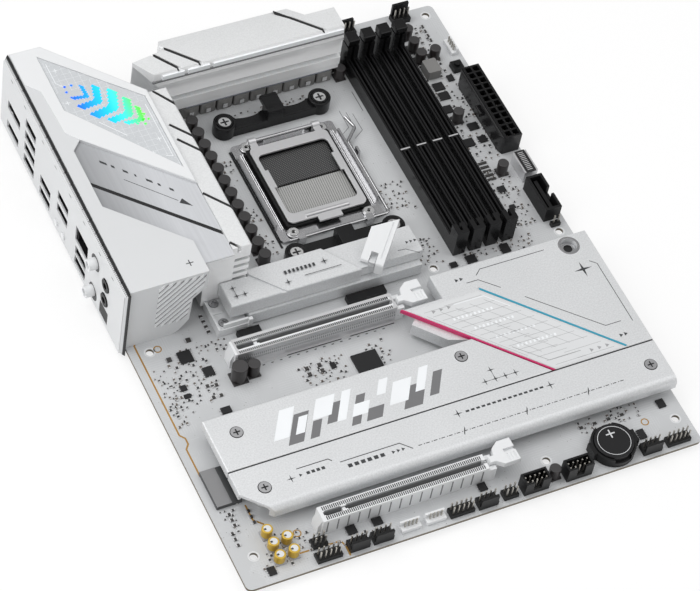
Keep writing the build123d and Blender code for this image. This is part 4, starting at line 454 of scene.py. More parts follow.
def scatter_tree():
    """Small two-terminal parts, spread over the piece's faces and turned square to the board."""
    tree, given, result = new_tree(
        "Scattered chip parts",
        [
            ("Gap", "NodeSocketFloat", 2 * MM),
            ("Density", "NodeSocketFloat", 1000.0),
            ("Part Size", "NodeSocketVector", None),
            ("Seed", "NodeSocketInt", 1),
            ("Material", "NodeSocketMaterial", None),
        ],
    )
    told = given.outputs
    links = {"Mesh": told["Geometry"], "Seed": told["Seed"]}
    spots = add(tree, "GeometryNodeDistributePointsOnFaces", links, distribute_method="POISSON")
    tree.links.new(told["Gap"], spots.inputs["Distance Min"])
    tree.links.new(told["Density"], spots.inputs["Density Max"])

    # One part: a middle, and two bright ends a little thicker than it.
    def marked(geometry, value):
        """Geometry that carries whether it is a bright end."""
        links = {"Name": "part_end", "Value": value, "Geometry": geometry}
        return add(tree, "GeometryNodeStoreNamedAttribute", links).outputs["Geometry"]

    split = add(tree, "ShaderNodeSeparateXYZ", {"Vector": told["Part Size"]})
    links = {0: told["Part Size"], 1: (0.24, 1.06, 1.08)}
    end_size = add(tree, "ShaderNodeVectorMath", links, operation="MULTIPLY")
    join = add(tree, "GeometryNodeJoinGeometry")
    middle = add(tree, "GeometryNodeMeshCube", {"Size": told["Part Size"]})
    tree.links.new(marked(middle.outputs["Mesh"], 0.0), join.inputs["Geometry"])
    for side in (-1, 1):
        end = add(tree, "GeometryNodeMeshCube", {"Size": end_size.outputs["Vector"]})
        shift = add(tree, "ShaderNodeMath", {0: split.outputs["X"], 1: side * 0.42}, operation="MULTIPLY")
        reach = add(tree, "ShaderNodeCombineXYZ", {"X": shift.outputs["Value"]})
        links = {"Geometry": end.outputs["Mesh"], "Translation": reach.outputs["Vector"]}
        move = add(tree, "GeometryNodeTransform", links)
        tree.links.new(marked(move.outputs["Geometry"], 1.0), join.inputs["Geometry"])
    half = add(tree, "ShaderNodeMath", {0: split.outputs["Z"], 1: 0.5}, operation="MULTIPLY")
    rise = add(tree, "ShaderNodeCombineXYZ", {"Z": half.outputs["Value"]})
    links = {"Geometry": join.outputs["Geometry"], "Translation": rise.outputs["Vector"]}
    lift = add(tree, "GeometryNodeTransform", links)

    # Square turns, and some parts larger than others.
    quarter = add(tree, "FunctionNodeRandomValue", {4: 0, 5: 1, "Seed": told["Seed"]}, data_type="INT")
    angle = add(tree, "ShaderNodeMath", {0: quarter.outputs[2], 1: math.pi / 2}, operation="MULTIPLY")
    turn = add(tree, "ShaderNodeCombineXYZ", {"Z": angle.outputs["Value"]})
    growth = add(tree, "FunctionNodeRandomValue", {2: 0.7, 3: 1.45, "Seed": told["Seed"]}, data_type="FLOAT")
    spread = add(tree, "GeometryNodeInstanceOnPoints", {
        "Points": spots.outputs["Points"],
        "Instance": lift.outputs["Geometry"],
        "Rotation": turn.outputs["Vector"],
        "Scale": growth.outputs[1],
    })
    tone = add(tree, "FunctionNodeRandomValue", data_type="FLOAT")
    links = {"Name": "part_tone", "Geometry": spread.outputs["Instances"], "Value": tone.outputs[1]}
    toned = add(tree, "GeometryNodeStoreNamedAttribute", links, domain="INSTANCE")
    return close_tree(tree, toned.outputs["Geometry"], given, result)


def grown(name, tree, settings, body, slot, start=None):
    """Runs a tree on a piece and keeps the result as a plain mesh."""
    host = bpy.data.objects.new(name + "_rule", start or bpy.data.meshes.new(name + "_rule"))
    bpy.context.scene.collection.objects.link(host)
    rule = host.modifiers.new("Rule", "NODES")
    rule.node_group = tree
    for item in tree.interface.items_tree:
        if item.item_type == "SOCKET" and item.in_out == "INPUT" and item.name in settings:
            rule[item.identifier] = settings[item.name]
    bpy.context.view_layer.update()
    depsgraph = bpy.context.evaluated_depsgraph_get()
    mesh = bpy.data.meshes.new_from_object(
        host.evaluated_get(depsgraph), preserve_all_data_layers=True, depsgraph=depsgraph
    )
    mesh.name = name
    bpy.data.objects.remove(host)
    if not mesh.polygons:
        raise RuntimeError(f"{name} came out empty")
    return settle(name, mesh, settings["Material"], body, slot)


def row(name, finish, count, start, step, size, body="board", slot="dark_plastic"):
    """A row of equal bars, given in board millimetres."""
    settings = {
        "Count": count,
        "Start": on_board(*start),
        "Step": Vector(step) * MM,
        "Bar Size": Vector(size) * MM,
        "Material": paint(finish),
    }
    return grown(name, bpy.data.node_groups["Row of bars"], settings, body, slot)


def studs(name, finish, spots, radius, height, sides=12, body="board", slot="dark_plastic"):
    """Round studs centred on places on the board."""
    mesh = bpy.data.meshes.new(name + "_points")
    mesh.from_pydata([on_board(*spot) for spot in spots], [], [])
    settings = {"Radius": radius * MM, "Height": height * MM, "Sides": sides, "Material": paint(finish)}
    return grown(name, bpy.data.node_groups["Studs on points"], settings, body, slot, mesh)


# ---- Finishes ---------------------------------------------------------------------------------
def shader_group(name, inputs, outputs):
    tree = bpy.data.node_groups.new(name, "ShaderNodeTree")
    for label, value in inputs:
        tree.interface.new_socket(label, in_out="INPUT", socket_type="NodeSocketFloat").default_value = value
    for label in outputs:
        tree.interface.new_socket(label, in_out="OUTPUT", socket_type="NodeSocketFloat")
    return tree, tree.nodes.new("NodeGroupInput"), tree.nodes.new("NodeGroupOutput")


def noise_in(tree, scale, detail=2.0):
    place = add(tree, "ShaderNodeTexCoord").outputs["Object"]
    return add(tree, "ShaderNodeTexNoise", {"Detail": detail, "Vector": place, "Scale": scale}).outputs["Fac"]


def grain_group():
    """Fine blasted or moulded grain: a height for the bump, and a speckle for colour."""
    tree, given, result = shader_group("Fine grain", [("Scale", 2600.0), ("Depth", 1.0)], ["Height", "Speckle"])
    fine = noise_in(tree, given.outputs["Scale"], 3.0)
    scaled = add(tree, "ShaderNodeMath", {0: fine, 1: given.outputs["Depth"]}, operation="MULTIPLY")
    tree.links.new(scaled.outputs["Value"], result.inputs["Height"])
    tree.links.new(fine, result.inputs["Speckle"])


def cloud_group():
    """Slow drift of tone across a surface, from handling and casting."""
    tree, given, result = shader_group("Slow drift", [("Scale", 28.0), ("Amount", 0.06)], ["Shade"])
    slow = noise_in(tree, given.outputs["Scale"], 4.0)
    darkest = add(tree, "ShaderNodeMath", {0: 1.0, 1: given.outputs["Amount"]}, operation="SUBTRACT")
    links = {"From Min": 0.3, "From Max": 0.7, "To Min": darkest.outputs["Value"], "To Max": 1.0, "Value": slow}
    shade = add(tree, "ShaderNodeMapRange", links)
    tree.links.new(shade.outputs["Result"], result.inputs["Shade"])


def opaque(colour):
    """A plain colour with its alpha. A socket stays as it is."""
    return colour if hasattr(colour, "links") else (*colour, 1.0)


class Finish:
    """One material, with its grain and drift already in place."""

    def __init__(
        self, name, colour, roughness, metallic=0.0, grain=2600.0, depth=0.25, drift=0.05, speckle=0.0, shine=0.5
    ):
        self.material = bpy.data.materials.new(name)
        self.material.use_nodes = True
        self.tree = self.material.node_tree
        self.shader = self.tree.nodes["Principled BSDF"]
        self.shader.inputs["Metallic"].default_value = metallic
        self.shader.inputs["Specular IOR Level"].default_value = shine
        self.grain = self.group("Fine grain", Scale=grain, Depth=1.0)
        self.drift = self.group("Slow drift", Scale=30.0, Amount=drift)
        self.colour = self.shaded(colour, self.drift.outputs["Shade"])
        if speckle:
            coarse = self.group("Fine grain", Scale=1250.0, Depth=1.0).outputs["Speckle"]
            self.colour = self.shaded(self.colour, self.ranged(coarse, 0.25, 0.75, 1.0 - speckle, 1.0 + speckle))
        self.paint(self.colour)
        rough = self.ranged(self.grain.outputs["Speckle"], 0.0, 1.0, roughness - 0.04, roughness + 0.04)
        self.link(rough, self.shader.inputs["Roughness"])
        links = {"Strength": depth, "Distance": 0.05 * MM, "Height": self.grain.outputs["Height"]}
        self.link(add(self.tree, "ShaderNodeBump", links).outputs["Normal"], self.shader.inputs["Normal"])

    def ranged(self, value, start, end, low=0.0, high=1.0):
        """A value's run from start to end, mapped to low and high."""
        links = {"Value": value, "From Min": start, "From Max": end, "To Min": low, "To Max": high}
        return add(self.tree, "ShaderNodeMapRange", links).outputs["Result"]

    def link(self, start, end):
        self.tree.links.new(start, end)

    def group(self, name, **values):
        return add(self.tree, "ShaderNodeGroup", values, node_tree=bpy.data.node_groups[name])

    def blend(self, mask, first, second):
        """first where the mask is 0, second where it is 1."""
        links = {"Factor": mask, 6: opaque(first), 7: opaque(second)}
        return add(self.tree, "ShaderNodeMix", links, data_type="RGBA").outputs[2]

    def shaded(self, colour, shade):
        """A colour multiplied by a shade that changes over the surface."""
        links = {"Factor": 1.0, 6: opaque(colour), 7: shade}
        return add(self.tree, "ShaderNodeMix", links, data_type="RGBA", blend_type="MULTIPLY").outputs[2]

    def paint(self, colour):
        self.link(colour, self.shader.inputs["Base Color"])

    def math(self, operation, first, second=None):
        links = {0: first} if second is None else {0: first, 1: second}
        return add(self.tree, "ShaderNodeMath", links, operation=operation).outputs["Value"]

    def place(self):
        return add(self.tree, "ShaderNodeTexCoord").outputs["Object"]

    def object_axis(self, axis):
        return add(self.tree, "ShaderNodeSeparateXYZ", {"Vector": self.place()}).outputs[axis]

    def facing(self, axis):
        """How far the surface faces along an axis of the board, from -1 to 1."""
        normal = add(self.tree, "ShaderNodeNewGeometry").outputs["Normal"]
        return add(self.tree, "ShaderNodeSeparateXYZ", {"Vector": normal}).outputs[axis]

    def attribute(self, name):
        return add(self.tree, "ShaderNodeAttribute", attribute_name=name).outputs["Fac"]

    def stripes(self, axis_value, pitch, duty):
        """1 on stripes of a given share of the pitch (in millimetres), and 0 between them."""
        turns = self.math("DIVIDE", axis_value, pitch * MM)
        return self.math("LESS_THAN", self.math("FRACT", turns), duty)

    def strokes(self, darkest, lightest):
        """A shade in fine strokes along Y."""
        stretch = add(self.tree, "ShaderNodeMapping", {"Vector": self.place(), "Scale": (1500.0, 30.0, 1500.0)})
        noise = add(self.tree, "ShaderNodeTexNoise", {"Scale": 1.0, "Vector": stretch.outputs["Vector"]})
        return self.ranged(noise.outputs["Fac"], 0.0, 1.0, darkest, lightest)

    def patches(self, scale, limit):
        """1 inside soft patches where a noise passes the limit."""
        return self.math("GREATER_THAN", noise_in(self.tree, scale), limit)

    def dots(self, pitch, radius):
        """Round dots scattered about one to a cell of this pitch (in millimetres)."""
        cells = add(self.tree, "ShaderNodeTexVoronoi", {"Vector": self.place(), "Scale": 1.0 / (pitch * MM)})
        return self.math("LESS_THAN", cells.outputs["Distance"], radius / pitch)


def board_material(colours):
    """Pale solder mask with covered tracks, small plated holes, and a brown edge."""
    made = Finish("Pale solder mask", colours.mask_light, 0.42, grain=900.0, depth=0.08, drift=0.03)
    x, y = made.object_axis("X"), made.object_axis("Y")
    slant = made.math("MULTIPLY", made.math("ADD", x, y), 0.7071)
    along = made.math("MULTIPLY", made.stripes(x, 1.3, 0.22), made.patches(62.0, 0.56))
    across = made.math("MULTIPLY", made.stripes(y, 1.3, 0.22), made.patches(55.0, 0.57))
    slanted = made.math("MULTIPLY", made.stripes(slant, 1.3, 0.22), made.patches(48.0, 0.57))
    tracks = made.math("MAXIMUM", made.math("MAXIMUM", along, across), slanted)
    light = [min(1.0, c * 1.10) for c in colours.mask_light]
    tracked = made.blend(made.math("MULTIPLY", tracks, 0.7), made.colour, light)
    holes = made.math("MULTIPLY", made.dots(2.3, 0.21), made.patches(70.0, 0.53))
    holed = made.blend(made.math("MULTIPLY", holes, 0.75), tracked, (0.16, 0.15, 0.14))
    edge = made.math("LESS_THAN", made.math("ABSOLUTE", made.facing("Z")), 0.5)
    made.paint(made.blend(edge, holed, (0.115, 0.088, 0.050)))
    return made.material


def contact_material(colours):
    """Land-grid contacts: two fields of tiny springs that lean opposite ways, the near field painted lighter and the
    far field darker as painted reflection.
    """
    made = Finish("Land-grid contacts", (0.10, 0.10, 0.11), 0.45, grain=1500.0)
    x, y = made.object_axis("X"), made.object_axis("Y")
    slant = made.math("ADD", x, made.math("MULTIPLY", y, 0.5))
    lean = made.math("SUBTRACT", x, made.math("MULTIPLY", y, 0.8))
    low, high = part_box("socket_contacts")
    upper = made.math("GREATER_THAN", y, (low.y + high.y) / 2)
    near = made.stripes(lean, 1.05, 0.62)
    far = made.math("MULTIPLY", made.stripes(slant, 1.25, 0.40), made.stripes(y, 1.0, 0.55))
    # Painted reflection: the near field's springs are painted light and the far field's dark, though both are the
    # same metal.
    light = made.blend(near, (0.10, 0.10, 0.10), (0.46, 0.46, 0.45))
    dark = made.blend(far, (0.020, 0.020, 0.021), (0.15, 0.15, 0.15))
    made.paint(made.blend(upper, light, dark))
    return made.material


def sleeve_material(name, side, top, roughness, metallic=0.0, foot=None):
    """A can with one colour round its side, another on its top, and a third on its foot."""
    made = Finish(name, side, roughness, metallic, depth=0.05)
    cap = made.math("GREATER_THAN", made.facing("Z"), 0.8)
    can = made.blend(cap, made.colour, top)
    if foot:
        foot_top = BOARD_HIGH.z + 1.3 * MM
        can = made.blend(made.math("LESS_THAN", made.object_axis("Z"), foot_top), can, foot)
    made.paint(can)
    return made.material


def shroud_material(colours):
    """White-coated shroud with a darker brushed panel let into its roof, over which a painted shade lightens along
    X.
    """
    made = Finish("Shroud metal", colours.shroud, 0.44, 0.12, grain=2400.0, depth=0.08, drift=0.02)
    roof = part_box("io_shroud")[1].z
    x, z = made.object_axis("X"), made.object_axis("Z")
    below, above = made.math("LESS_THAN", z, roof - 0.9 * MM), made.math("GREATER_THAN", z, roof - 1.75 * MM)
    level = made.math("GREATER_THAN", made.facing("Z"), 0.7)
    recess = made.math("MULTIPLY", made.math("MULTIPLY", below, above), level)
    # Painted shade: the panel is painted dark at its low-X end, under the window's frame, running to painted light
    # towards high X.
    run = made.ranged(x, BOARD_LOW.x + 7 * MM, BOARD_LOW.x + 38 * MM)
    dark, light = ([c * share for c in colours.panel] for share in (0.62, 1.18))
    panel = made.shaded(made.blend(run, dark, light), made.strokes(0.9, 1.06))
    made.paint(made.blend(recess, made.colour, panel))
    return made.material


def rear_panel_material(colours):
    """White-coated panel with a hatched spring flange behind its face, and painted shadow, near black, in the gap
    behind the flange.
    """
    made = Finish("Rear panel", colours.shroud, 0.44, 0.12, grain=2400.0, depth=0.08, drift=0.02)
    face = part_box("io_shield")[0].x
    x = made.object_axis("X")
    combs = made.stripes(made.object_axis("Y"), 1.1, 0.5)
    fingers = made.blend(combs, (0.30, 0.30, 0.31), (0.62, 0.63, 0.64))
    flanged = made.blend(made.math("GREATER_THAN", x, face + 0.85 * MM), made.colour, fingers)
    # Painted shadow: everything further than this behind the face is painted near black, for the gap between the
    # flange and the shroud.
    made.paint(made.blend(made.math("GREATER_THAN", x, face + 1.65 * MM), flanged, (0.012, 0.012, 0.013)))
    return made.material


def chip_part_material():
    """Small soldered parts: a black or brown middle between bright ends."""
    made = Finish("Chip parts", (0.022, 0.021, 0.020), 0.4)
    tone, end = (made.attribute(name) for name in ("part_tone", "part_end"))
    pale = made.math("GREATER_THAN", tone, 0.66)
    middle = made.blend(pale, (0.025, 0.025, 0.027), (0.12, 0.10, 0.085))
    made.paint(made.blend(end, middle, (0.62, 0.62, 0.62)))
    return made.material


def glow_material():
    """The lit motif behind the window: blue through cyan to green along the window."""
    made = Finish("Lit motif", (0.1, 0.4, 0.6), 0.5, depth=0.0, drift=0.0)
    low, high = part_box("shroud_window")
    run = made.ranged(made.object_axis("X"), low.x + 8 * MM, high.x - 6 * MM)
    ramp = add(made.tree, "ShaderNodeValToRGB", {"Fac": run})
    stops = ramp.color_ramp.elements
    stops[0].position, stops[0].color = 0.0, (0.0, 0.13, 0.90, 1.0)
    stops[1].position, stops[1].color = 1.0, (0.10, 0.85, 0.06, 1.0)
    middle = stops.new(0.5)
    middle.color = (0.0, 0.52, 0.90, 1.0)
    made.paint(ramp.outputs["Color"])
    made.link(ramp.outputs["Color"], made.shader.inputs["Emission Color"])
    made.shader.inputs["Emission Strength"].default_value = 0.55
    return made.material


# Which finish each solid takes, and how much its edges are rounded ("edge", "plastic_edge" or none).
NODE_FINISHES = {
    "circuit_board": ("Pale solder mask", None),
    "socket_backplate": ("Satin steel", None),
    "socket_housing": ("Black plastic", None),
    "socket_contacts": ("Land-grid contacts", None),
    "socket_frame": ("Polished steel", None),
    "socket_screws": ("Bright screw", None),
    "load_plate": ("Satin steel", "plastic_edge"),
    "load_lever": ("Polished steel", None),
    "cooler_brackets": ("Gloss black", "edge"),
    "dimm_slots": ("Gloss black", "plastic_edge"),
    "dimm_latch_1": ("Gloss black", "plastic_edge"),
    "dimm_latch_2": ("Gloss black", "plastic_edge"),
    "dimm_latch_3": ("Gloss black", "plastic_edge"),
    "dimm_latch_4": ("Gloss black", "plastic_edge"),
    "pcie_slot_upper": ("Pale plastic", "plastic_edge"),
    "pcie_slot_lower": ("Pale plastic", "plastic_edge"),
    "pcie_armor": ("Satin steel", None),
    "pcie_latch_upper": ("Pale plastic", "edge"),
    "pcie_latch_lower": ("Pale plastic", "edge"),
    "slot_contacts": ("Gold contacts", None),
    "m2_heatsink": ("Blasted metal", "edge"),
    "m2_release_lever": ("White metal", "edge"),
    "m2_base": ("Blasted metal", None),
    "m2_bracket": ("White metal", "plastic_edge"),
    "m2_sockets": ("Black plastic", None),
    "m2_upper_plate": ("Blasted metal", "edge"),
    "m2_lower_plate": ("Blasted metal", "edge"),
    "chipset_heatsink": ("Blasted metal", "edge"),
    "chipset_trim": ("Coloured strips", None),
    "heatsink_screws": ("Grey screw", None),
    "io_shield": ("Rear panel", None),
    "io_shroud": ("Shroud metal", "edge"),
    "shroud_window": ("Window", None),
    "rear_ports": ("Black plastic", None),
    "port_tongues": ("Black plastic", None),
    "ethernet_jack": ("Black plastic", None),
    "audio_jacks": ("Black plastic", None),
    "antenna_connectors": ("White metal", None),
    "flashback_button": ("Pale plastic", None),
    "clear_button": ("Pale plastic", None),
    "switch_bodies": ("Black plastic", None),
    "start_button": ("Gloss black", None),
    "vrm_heatsink_left": ("Ribbed metal", "edge"),
    "vrm_heatsink_top": ("Ribbed metal", "edge"),
    "thermal_pads": ("Thermal pad", None),
    "chokes": ("Choke", "plastic_edge"),
    "atx_power_connector": ("Gloss black", "plastic_edge"),
    "cpu_power_connectors": ("Gloss black", "plastic_edge"),
    "connector_pins": ("Bright pin", None),
    "header_blocks": ("Black plastic", None),
    "white_headers": ("Pale plastic", None),
    "usb_c_header": ("Satin steel", None),
    "battery_holder": ("Black plastic", None),
    "battery": ("Battery", None),
    "capacitors": ("Black can", None),
    "audio_capacitors": ("Gold can", None),
    "audio_shield": ("Dark metal", "plastic_edge"),
    "ic_chips": ("Chip", None),
    "smd_parts": ("Soldered part", None),
}


def paint(name):
    """A finish that the first operator made."""
    return bpy.data.materials[name]


def slot_of(node):
    """The record's material slot of a solid."""
    for part in frame["record"]["subparts"]:
        if part["node"] == node:
            return part["material_slot"]
    raise RuntimeError(f"no subpart for {node}")


class BoardStep(bpy.types.Operator):
    """What the steps share."""

    bl_options = {"REGISTER", "UNDO"}

    @property
    def sizes(self):
        return bpy.context.scene.board_sizes

    @property
    def colours(self):
        return bpy.context.scene.board_colours


class BOARD_OT_finishes(BoardStep):
    """Makes the finishes and gives every solid its own"""

    bl_idname = "board.finishes"
    bl_label = "Finishes"

    def execute(self, context):
        grain_group()
        cloud_group()
        row_tree()
        stud_tree()
        scatter_tree()
        c = self.colours
        board_material(c)
        contact_material(c)
        chip_part_material()
        glow_material()
        shroud_material(c)
        rear_panel_material(c)
        Finish("Blasted metal", c.blasted, 0.46, 0.45, grain=3400.0, depth=0.42, drift=0.04, speckle=0.10)
        # Painted light: the heatsinks' silver is painted lighter than the covers' blasted metal, and faces that look
        # towards the front are painted near white as a painted highlight.
        ribbed = Finish(
            "Ribbed metal", (0.79, 0.80, 0.805), 0.40, 0.30, grain=3400.0, depth=0.25, drift=0.03, speckle=0.06
        )
        front = ribbed.math("LESS_THAN", ribbed.facing("Y"), -0.5)
        ribbed.paint(ribbed.blend(front, ribbed.colour, (0.97, 0.975, 0.98)))
        Finish("White metal", (0.80, 0.81, 0.82), 0.44, 0.12, grain=2400.0, depth=0.08, drift=0.02)
        Finish("Satin steel", c.steel, 0.34, 0.75, grain=1800.0, depth=0.12)
        Finish("Polished steel", (0.52, 0.52, 0.53), 0.20, 1.0, grain=900.0, depth=0.05, drift=0.10)
        Finish("Bright screw", (0.70, 0.70, 0.70), 0.20, 0.95, grain=900.0, depth=0.10)
        Finish("Grey screw", (0.42, 0.42, 0.43), 0.34, 0.85, grain=900.0, depth=0.10)
        Finish("Gloss black", c.black, 0.24, grain=1400.0, depth=0.10, shine=0.28)
        Finish("Black plastic", c.black, 0.42, grain=2200.0, depth=0.30, shine=0.25)
        Finish("Pale plastic", c.white, 0.38, grain=1400.0, depth=0.10, drift=0.02)
        Finish("Dark metal", (0.085, 0.087, 0.09), 0.38, 0.5, grain=2600.0, depth=0.25)
        Finish("Gold contacts", c.gold, 0.30, 0.85, grain=1500.0)
        Finish("Shield", (0.26, 0.26, 0.265), 0.38, 0.5, grain=1500.0)
        Finish("Gold trace", (0.40, 0.22, 0.045), 0.35, 0.2, grain=1500.0)
        Finish("Bright pin", (0.46, 0.44, 0.40), 0.28, 0.9, grain=1500.0)
        Finish("Thermal pad", (0.30, 0.33, 0.38), 0.85, grain=1800.0, depth=0.5)
        Finish("Choke", (0.215, 0.212, 0.207), 0.50, 0.15, grain=2200.0, depth=0.45)
        Finish("Chip", (0.014, 0.014, 0.015), 0.42, grain=2200.0, depth=0.25, shine=0.3)
        Finish("Soldered part", (0.045, 0.042, 0.04), 0.45, grain=1200.0, depth=0.25, drift=0.30)
        Finish("Battery", (0.013, 0.013, 0.014), 0.34, 0.2, grain=1400.0, shine=0.3)
        Finish("Ink", c.ink, 0.5, grain=2400.0, depth=0.15)
        Finish("Dark print", (0.17, 0.17, 0.175), 0.5, grain=2400.0, depth=0.15)
        Finish("Grey print", (0.36, 0.365, 0.37), 0.5, grain=2400.0, depth=0.15)
        Finish("Pale print", (0.70, 0.71, 0.72), 0.42, grain=2400.0, depth=0.15)
        Finish("Bright print", (0.88, 0.90, 0.92), 0.4, grain=2400.0, depth=0.1)
        # Painted shade, dark grey, for grooves, gaps, slot depths and under edges.
        Finish("Groove", (0.20, 0.205, 0.21), 0.6, grain=2400.0, depth=0.1)
        Finish("Pale ink", (0.62, 0.63, 0.64), 0.5, grain=2400.0, depth=0.15)
        # Painted shade, near black, for gaps, slots, recesses and openings where shade falls.
        Finish("Deep gap", (0.010, 0.010, 0.011), 0.7, grain=1800.0)
        Finish("Solder", (0.70, 0.70, 0.71), 0.28, 0.9, grain=1400.0, depth=0.25)
        sleeve_material("Black can", (0.018, 0.014, 0.014), (0.040, 0.038, 0.039), 0.30)
        sleeve_material("Gold can", c.sleeve, c.sleeve, 0.30, 0.35, foot=(0.42, 0.42, 0.43))
        self.window_finish()
        self.strip_finish(c)
        for node, (finish, _) in NODE_FINISHES.items():
            finish_node(node, paint(finish))
        unfinished = set(NODES) - set(NODE_FINISHES)
        if unfinished:
            raise RuntimeError(f"no finish for {sorted(unfinished)}")
        return {"FINISHED"}

    def window_finish(self):
        """A pale printed panel: thin grid lines and soft marks on light grey."""
        made = Finish("Window", (0.60, 0.62, 0.64), 0.28, grain=1400.0, depth=0.03, drift=0.05)
        made.shader.inputs["Coat Weight"].default_value = 0.6
        x, y = made.object_axis("X"), made.object_axis("Y")
        lines = made.math("MAXIMUM", made.stripes(x, 3.6, 0.05), made.stripes(y, 3.6, 0.05))
        marked = made.math("MULTIPLY", lines, made.patches(120.0, 0.46))
        made.paint(made.blend(made.math("MULTIPLY", marked, 0.6), made.colour, (0.85, 0.87, 0.89)))

    def strip_finish(self, colours):
        """The two coloured strips: one colour on the slanted edge, another further along."""
        made = Finish("Coloured strips", colours.pink, 0.35, depth=0.05)
        low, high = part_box("chipset_trim")
        # The strips run parallel, so what tells them apart is how far along X they start.
        slant = made.math("ADD", made.object_axis("X"), made.math("MULTIPLY", made.object_axis("Y"), STRIP_LEAN))
        middle = (low.x + high.x) / 2 + STRIP_LEAN * (low.y + high.y) / 2
        second = made.math("GREATER_THAN", slant, middle)
        made.paint(made.blend(second, made.colour, colours.cyan))


class BOARD_OT_rounding(BoardStep):
    """Rounds the edges of the main pieces"""

    bl_idname = "board.rounding"
    bl_label = "Rounding"

    def execute(self, context):
        for node, (finish, edge) in NODE_FINISHES.items():
            if edge:
                rounded_stand_in(node, getattr(self.sizes, edge), paint(finish), slot_of(node))
        return {"FINISHED"}


class BOARD_OT_bare_board(BoardStep):
    """Puts pads, gold traces and printed lines on the bare board"""

    bl_idname = "board.bare_board"
    bl_label = "Bare board"

    # Mounting holes: the first columns and rows, the last ones' distance from the far edges, and the X
    # of the one hole that stands out of line. Then the small holes that have a copper ring.
    HOLE_COLUMNS, HOLE_ROWS, SHIFTED_HOLE = (10.16, 165.1), (16.51, 140.97), 33.02
    LAST_HOLE_INSET = 6.35
    SMALL_HOLES = ((34.5, 21.0), (222.0, 20.0), (14.5, 141.5))
    GOLD_RUNS = (
        ((6, 149), (4.5, 147), (4.5, 91), (6.5, 88.5), (6.5, 85), (4.5, 82.5), (4.5, 66)),
        ((18, 44), (18, 35), (22, 31)),
        ((31, 10.5), (52, 10), (53, 7), (53, 1)),
    )
    # Lines of the legend, each with its width.
    LEGEND = (
        (0.3, ((176.0, 248), (176.0, 262))),
        (0.3, ((178.6, 248), (178.6, 262))),
        (0.25, ((158, 236), (164, 240), (164, 252))),
        (0.25, ((161, 234), (167, 238), (167, 250))),
        (0.25, ((164, 232), (170, 236), (170, 248))),
    )

    def execute(self, context):
        low, high = span_of("circuit_board")
        columns = (*self.HOLE_COLUMNS, high.x - low.x - self.LAST_HOLE_INSET)
        rows = (*self.HOLE_ROWS, high.y - low.y - self.LAST_HOLE_INSET)
        pads = Drawing()
        for x in columns:
            for y in rows:
                shifted = (x, y) == (columns[0], rows[2])
                pads.ring(self.SHIFTED_HOLE if shifted else x, y, 2.1, 2.9, 0.0)
        pads.piece("hole_pads", "Pale print", slot="contact_gold")

        gold = Drawing()
        for x, y in self.SMALL_HOLES:
            gold.ring(x, y, 1.5, 2.1, 0.0)
        for run in self.GOLD_RUNS:
            gold.band(run, 0.85, 0.0)
        gold.piece("gold_traces", "Gold trace", slot="contact_gold")

        row("slot_pads", "Ink", 15, (59.6, 115.3, SKIN / 2), (4.65, 0, 0), (1.3, 0.5, SKIN))

        legend = Drawing()
        for width, line in self.LEGEND:
            legend.band(line, width, 0.0)
        legend.piece("board_lines", "Ink", slot="pcb")
        return {"FINISHED"}


class BOARD_OT_chip_parts(BoardStep):
    """Scatters small soldered parts over the crowded places"""

    bl_idname = "board.chip_parts"
    bl_label = "Small parts"

    # Plan rectangles on bare board that hold small parts: (x span, y span, part length).
    CROWDED = (
        ((76.0, 80.5), (100.0, 108.0), 1.4),
        ((83.5, 94.0), (100.0, 108.0), 1.4),
        ((5.0, 12.4), (30.0, 44.0), 1.3),
        ((185.0, 196.0), (138.0, 145.0), 1.3),
        ((199.0, 222.0), (132.0, 145.0), 1.3),
        ((217.0, 232.0), (288.0, 293.0), 1.3),
        ((89.8, 96.0), (176.0, 190.0), 1.3),
        ((89.8, 96.5), (198.0, 208.0), 1.3),
        ((89.8, 96.0), (226.0, 240.0), 1.3),
        ((104.0, 150.0), (264.0, 268.0), 1.3),
        ((106.0, 150.0), (163.5, 168.5), 1.3),
        ((160.0, 174.0), (180.0, 200.0), 1.3),
        ((6.0, 12.2), (95.0, 130.0), 1.3),
        ((24.0, 38.0), (131.0, 137.0), 1.3),
        ((160.0, 172.0), (143.0, 160.0), 1.3),
        ((216.0, 230.0), (150.0, 190.0), 1.3),
        ((22.0, 40.0), (12.0, 24.0), 1.3),
        ((13.0, 34.0), (104.0, 131.0), 1.5),
        ((8.0, 17.0), (100.0, 122.0), 1.5),
        ((74.0, 98.0), (93.0, 109.0), 1.6),
        ((110.0, 122.0), (96.0, 110.0), 1.5),
        ((8.0, 15.0), (46.0, 62.0), 1.6),
        ((12.0, 26.0), (6.0, 16.0), 1.6),
        ((187.0, 197.0), (24.0, 31.0), 1.2),
        ((203.0, 222.0), (24.0, 34.0), 1.2),
        ((216.0, 232.0), (255.0, 285.0), 1.6),
        ((217.0, 232.0), (196.0, 250.0), 1.7),
        ((36.0, 72.0), (7.0, 11.0), 1.4),
        ((38.0, 48.0), (130.0, 137.0), 1.6),
    )

    def execute(self, context):
        for index, (x, y, length) in enumerate(self.CROWDED):
            mesh = bpy.data.meshes.new("crowded")
            corners = [on_board(px, py, 0.02) for px, py in rectangle(x, y)]
            mesh.from_pydata(corners, [], [(0, 1, 2, 3)])
            settings = {
                "Gap": self.sizes.part_gap * (length / 1.3),
                "Density": 2.2e5,
                "Part Size": Vector((length, 0.72, 0.5)) * MM,
                "Seed": self.sizes.part_seed + index,
                "Material": paint("Chip parts"),
            }
            tree = bpy.data.node_groups["Scattered chip parts"]
            grown(f"chip_parts_{index + 1}", tree, settings, "board", "dark_plastic", mesh)
        return {"FINISHED"}


